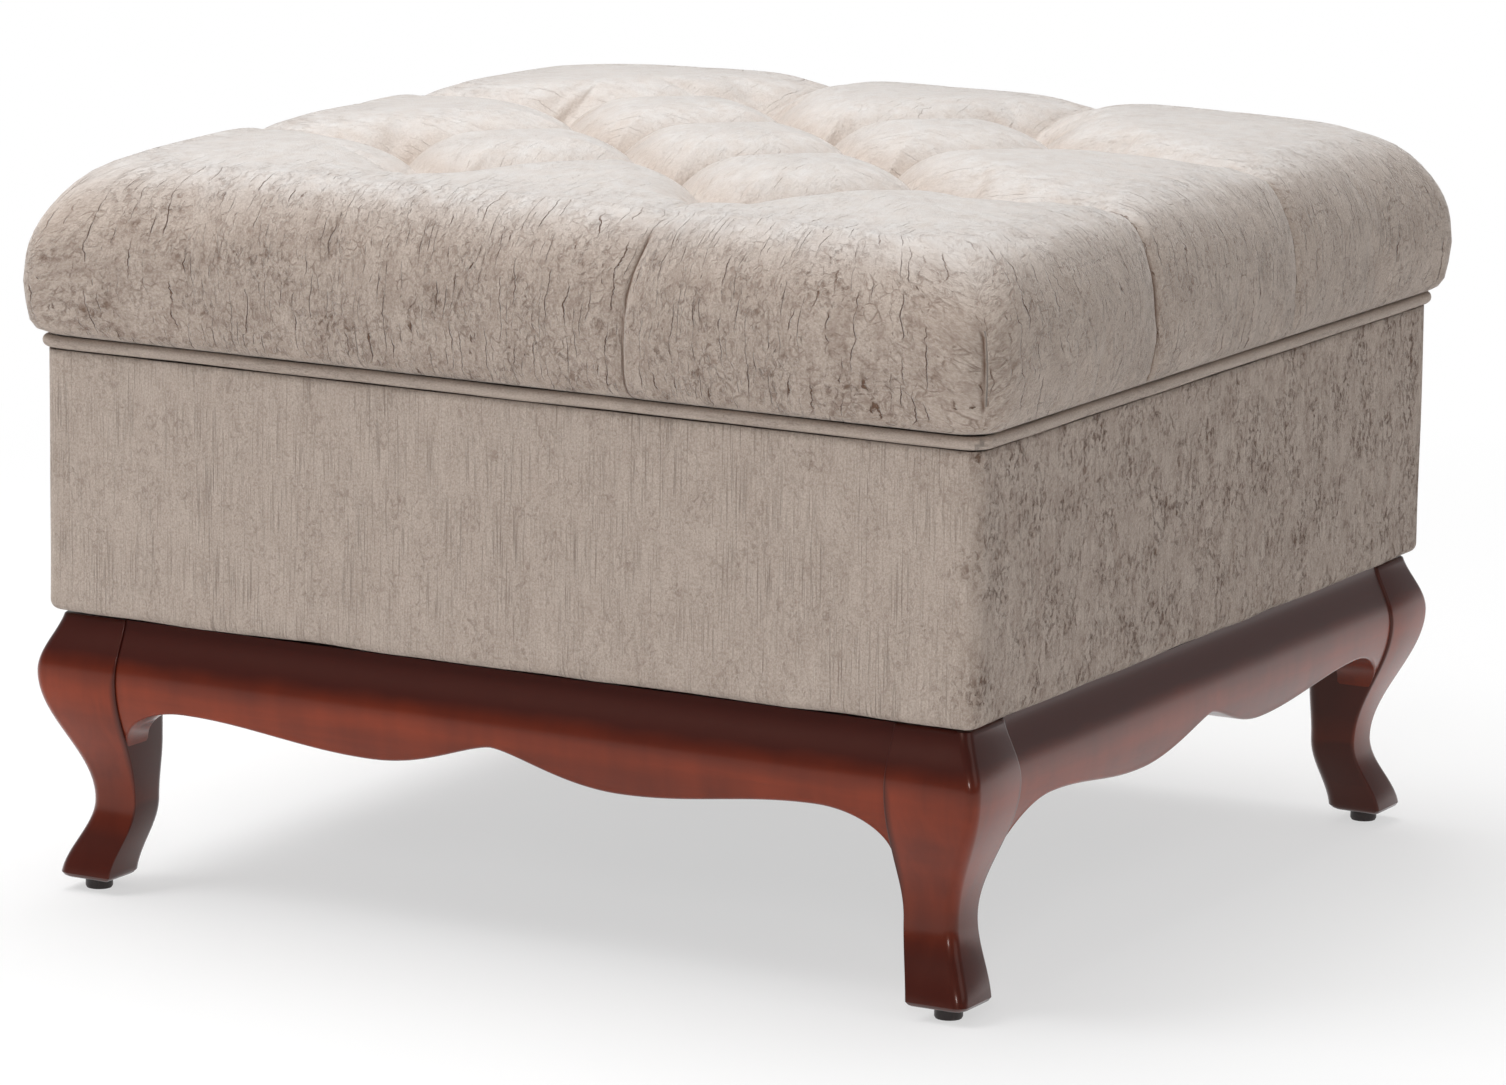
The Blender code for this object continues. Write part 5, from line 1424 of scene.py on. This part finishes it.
# Floor and light: a plain pale floor that fades to the white of the backdrop and can't be seen from below.
# A wide soft light hangs above and behind the stool and a weaker one high at its front left, in an even sky.
# A small one at the front right lights the legs' edges, and a faint one at the right lights that side.
FLOOR_FADE = (0.40, 1.6)
FLOOR_WHITE = (0.58, 1.0)
SKY_STRENGTH = 0.28
HORIZON = 0.12
floor_mesh = plain_mesh("floor", [(-30, -30, 0), (30, -30, 0), (30, 30, 0), (-30, 30, 0)], [], [(0, 1, 2, 3)])
floor = new_object("floor", floor_mesh)
floor_paint, floor_tree, floor_shader = new_material("pale_floor")
fill(floor_shader.inputs, {"Base Color": (0.90, 0.90, 0.90, 1), "Roughness": 0.9, "Specular IOR Level": 0.0})
floor_place = put(floor_tree, "ShaderNodeTexCoord").outputs["Object"]
measure = put(floor_tree, "ShaderNodeVectorMath", {0: floor_place}, operation="LENGTH")
ray = put(floor_tree, "ShaderNodeLightPath").outputs
looked_at = greatest(ray["Is Camera Ray"], ray["Is Glossy Ray"], ray["Is Transmission Ray"])
whiteness = times(looked_at, ramp(measure.outputs["Value"], *FLOOR_FADE, *FLOOR_WHITE))
white = put(floor_tree, "ShaderNodeEmission", {"Color": (1, 1, 1, 1), "Strength": 1.0}).outputs[0]
plain = floor_shader.outputs[0]
faded = put(floor_tree, "ShaderNodeMixShader", {0: whiteness, 1: plain, 2: white}).outputs[0]
from_below = put(floor_tree, "ShaderNodeNewGeometry").outputs["Backfacing"]
clear = put(floor_tree, "ShaderNodeBsdfTransparent").outputs[0]
seen = put(floor_tree, "ShaderNodeMixShader", {0: from_below, 1: faded, 2: clear}).outputs[0]
fill(floor_tree.nodes["Material Output"].inputs, {"Surface": seen})
floor_mesh.materials.append(floor_paint)


def add_soft_light(name, place, toward, width, height, power):
    light = bpy.data.lights.new(name, "AREA")
    light.shape = "RECTANGLE"
    light.size, light.size_y = width, height
    light.energy = power
    lamp = new_object(name, light)
    lamp.location = place
    lamp.rotation_euler = (Vector(toward) - Vector(place)).to_track_quat("-Z", "Y").to_euler()


add_soft_light("top_light", (-0.5, 0.35, 2.7), (0, 0, 0.35), 2.2, 1.8, 60)
add_soft_light("front_light", (-1.5, -1.6, 2.7), (0, 0, 0.25), 1.6, 1.2, 41)
add_soft_light("edge_light", (1.5, -3.0, 1.55), (0, 0, 0.15), 0.5, 0.5, 14)
add_soft_light("side_light", (2.6, -0.2, 1.6), (0, 0, 0.25), 1.4, 1.4, 4.5)
world = bpy.data.worlds.new("even_sky")
bpy.context.scene.world = world
world.use_nodes = True
sky_tree = world.node_tree
sky_ray = put(sky_tree, "ShaderNodeLightPath").outputs
sky_way = put(sky_tree, "ShaderNodeTexCoord").outputs["Generated"]
sky_up = put(sky_tree, "ShaderNodeSeparateXYZ", {0: sky_way}).outputs["Z"]
mirrored = greatest(sky_ray["Is Glossy Ray"], sky_ray["Is Transmission Ray"])
sky_seen = greatest(times(mirrored, ramp(sky_up, 0.0, HORIZON, 1.0, 0.0)), sky_ray["Is Camera Ray"])
sky = {"Strength": ramp(sky_seen, 0, 1, SKY_STRENGTH, 1.0), "Color": (1.0, 1.0, 1.0, 1)}
fill(sky_tree.nodes["Background"].inputs, sky)

bpy.context.scene.view_settings.view_transform = "Standard"
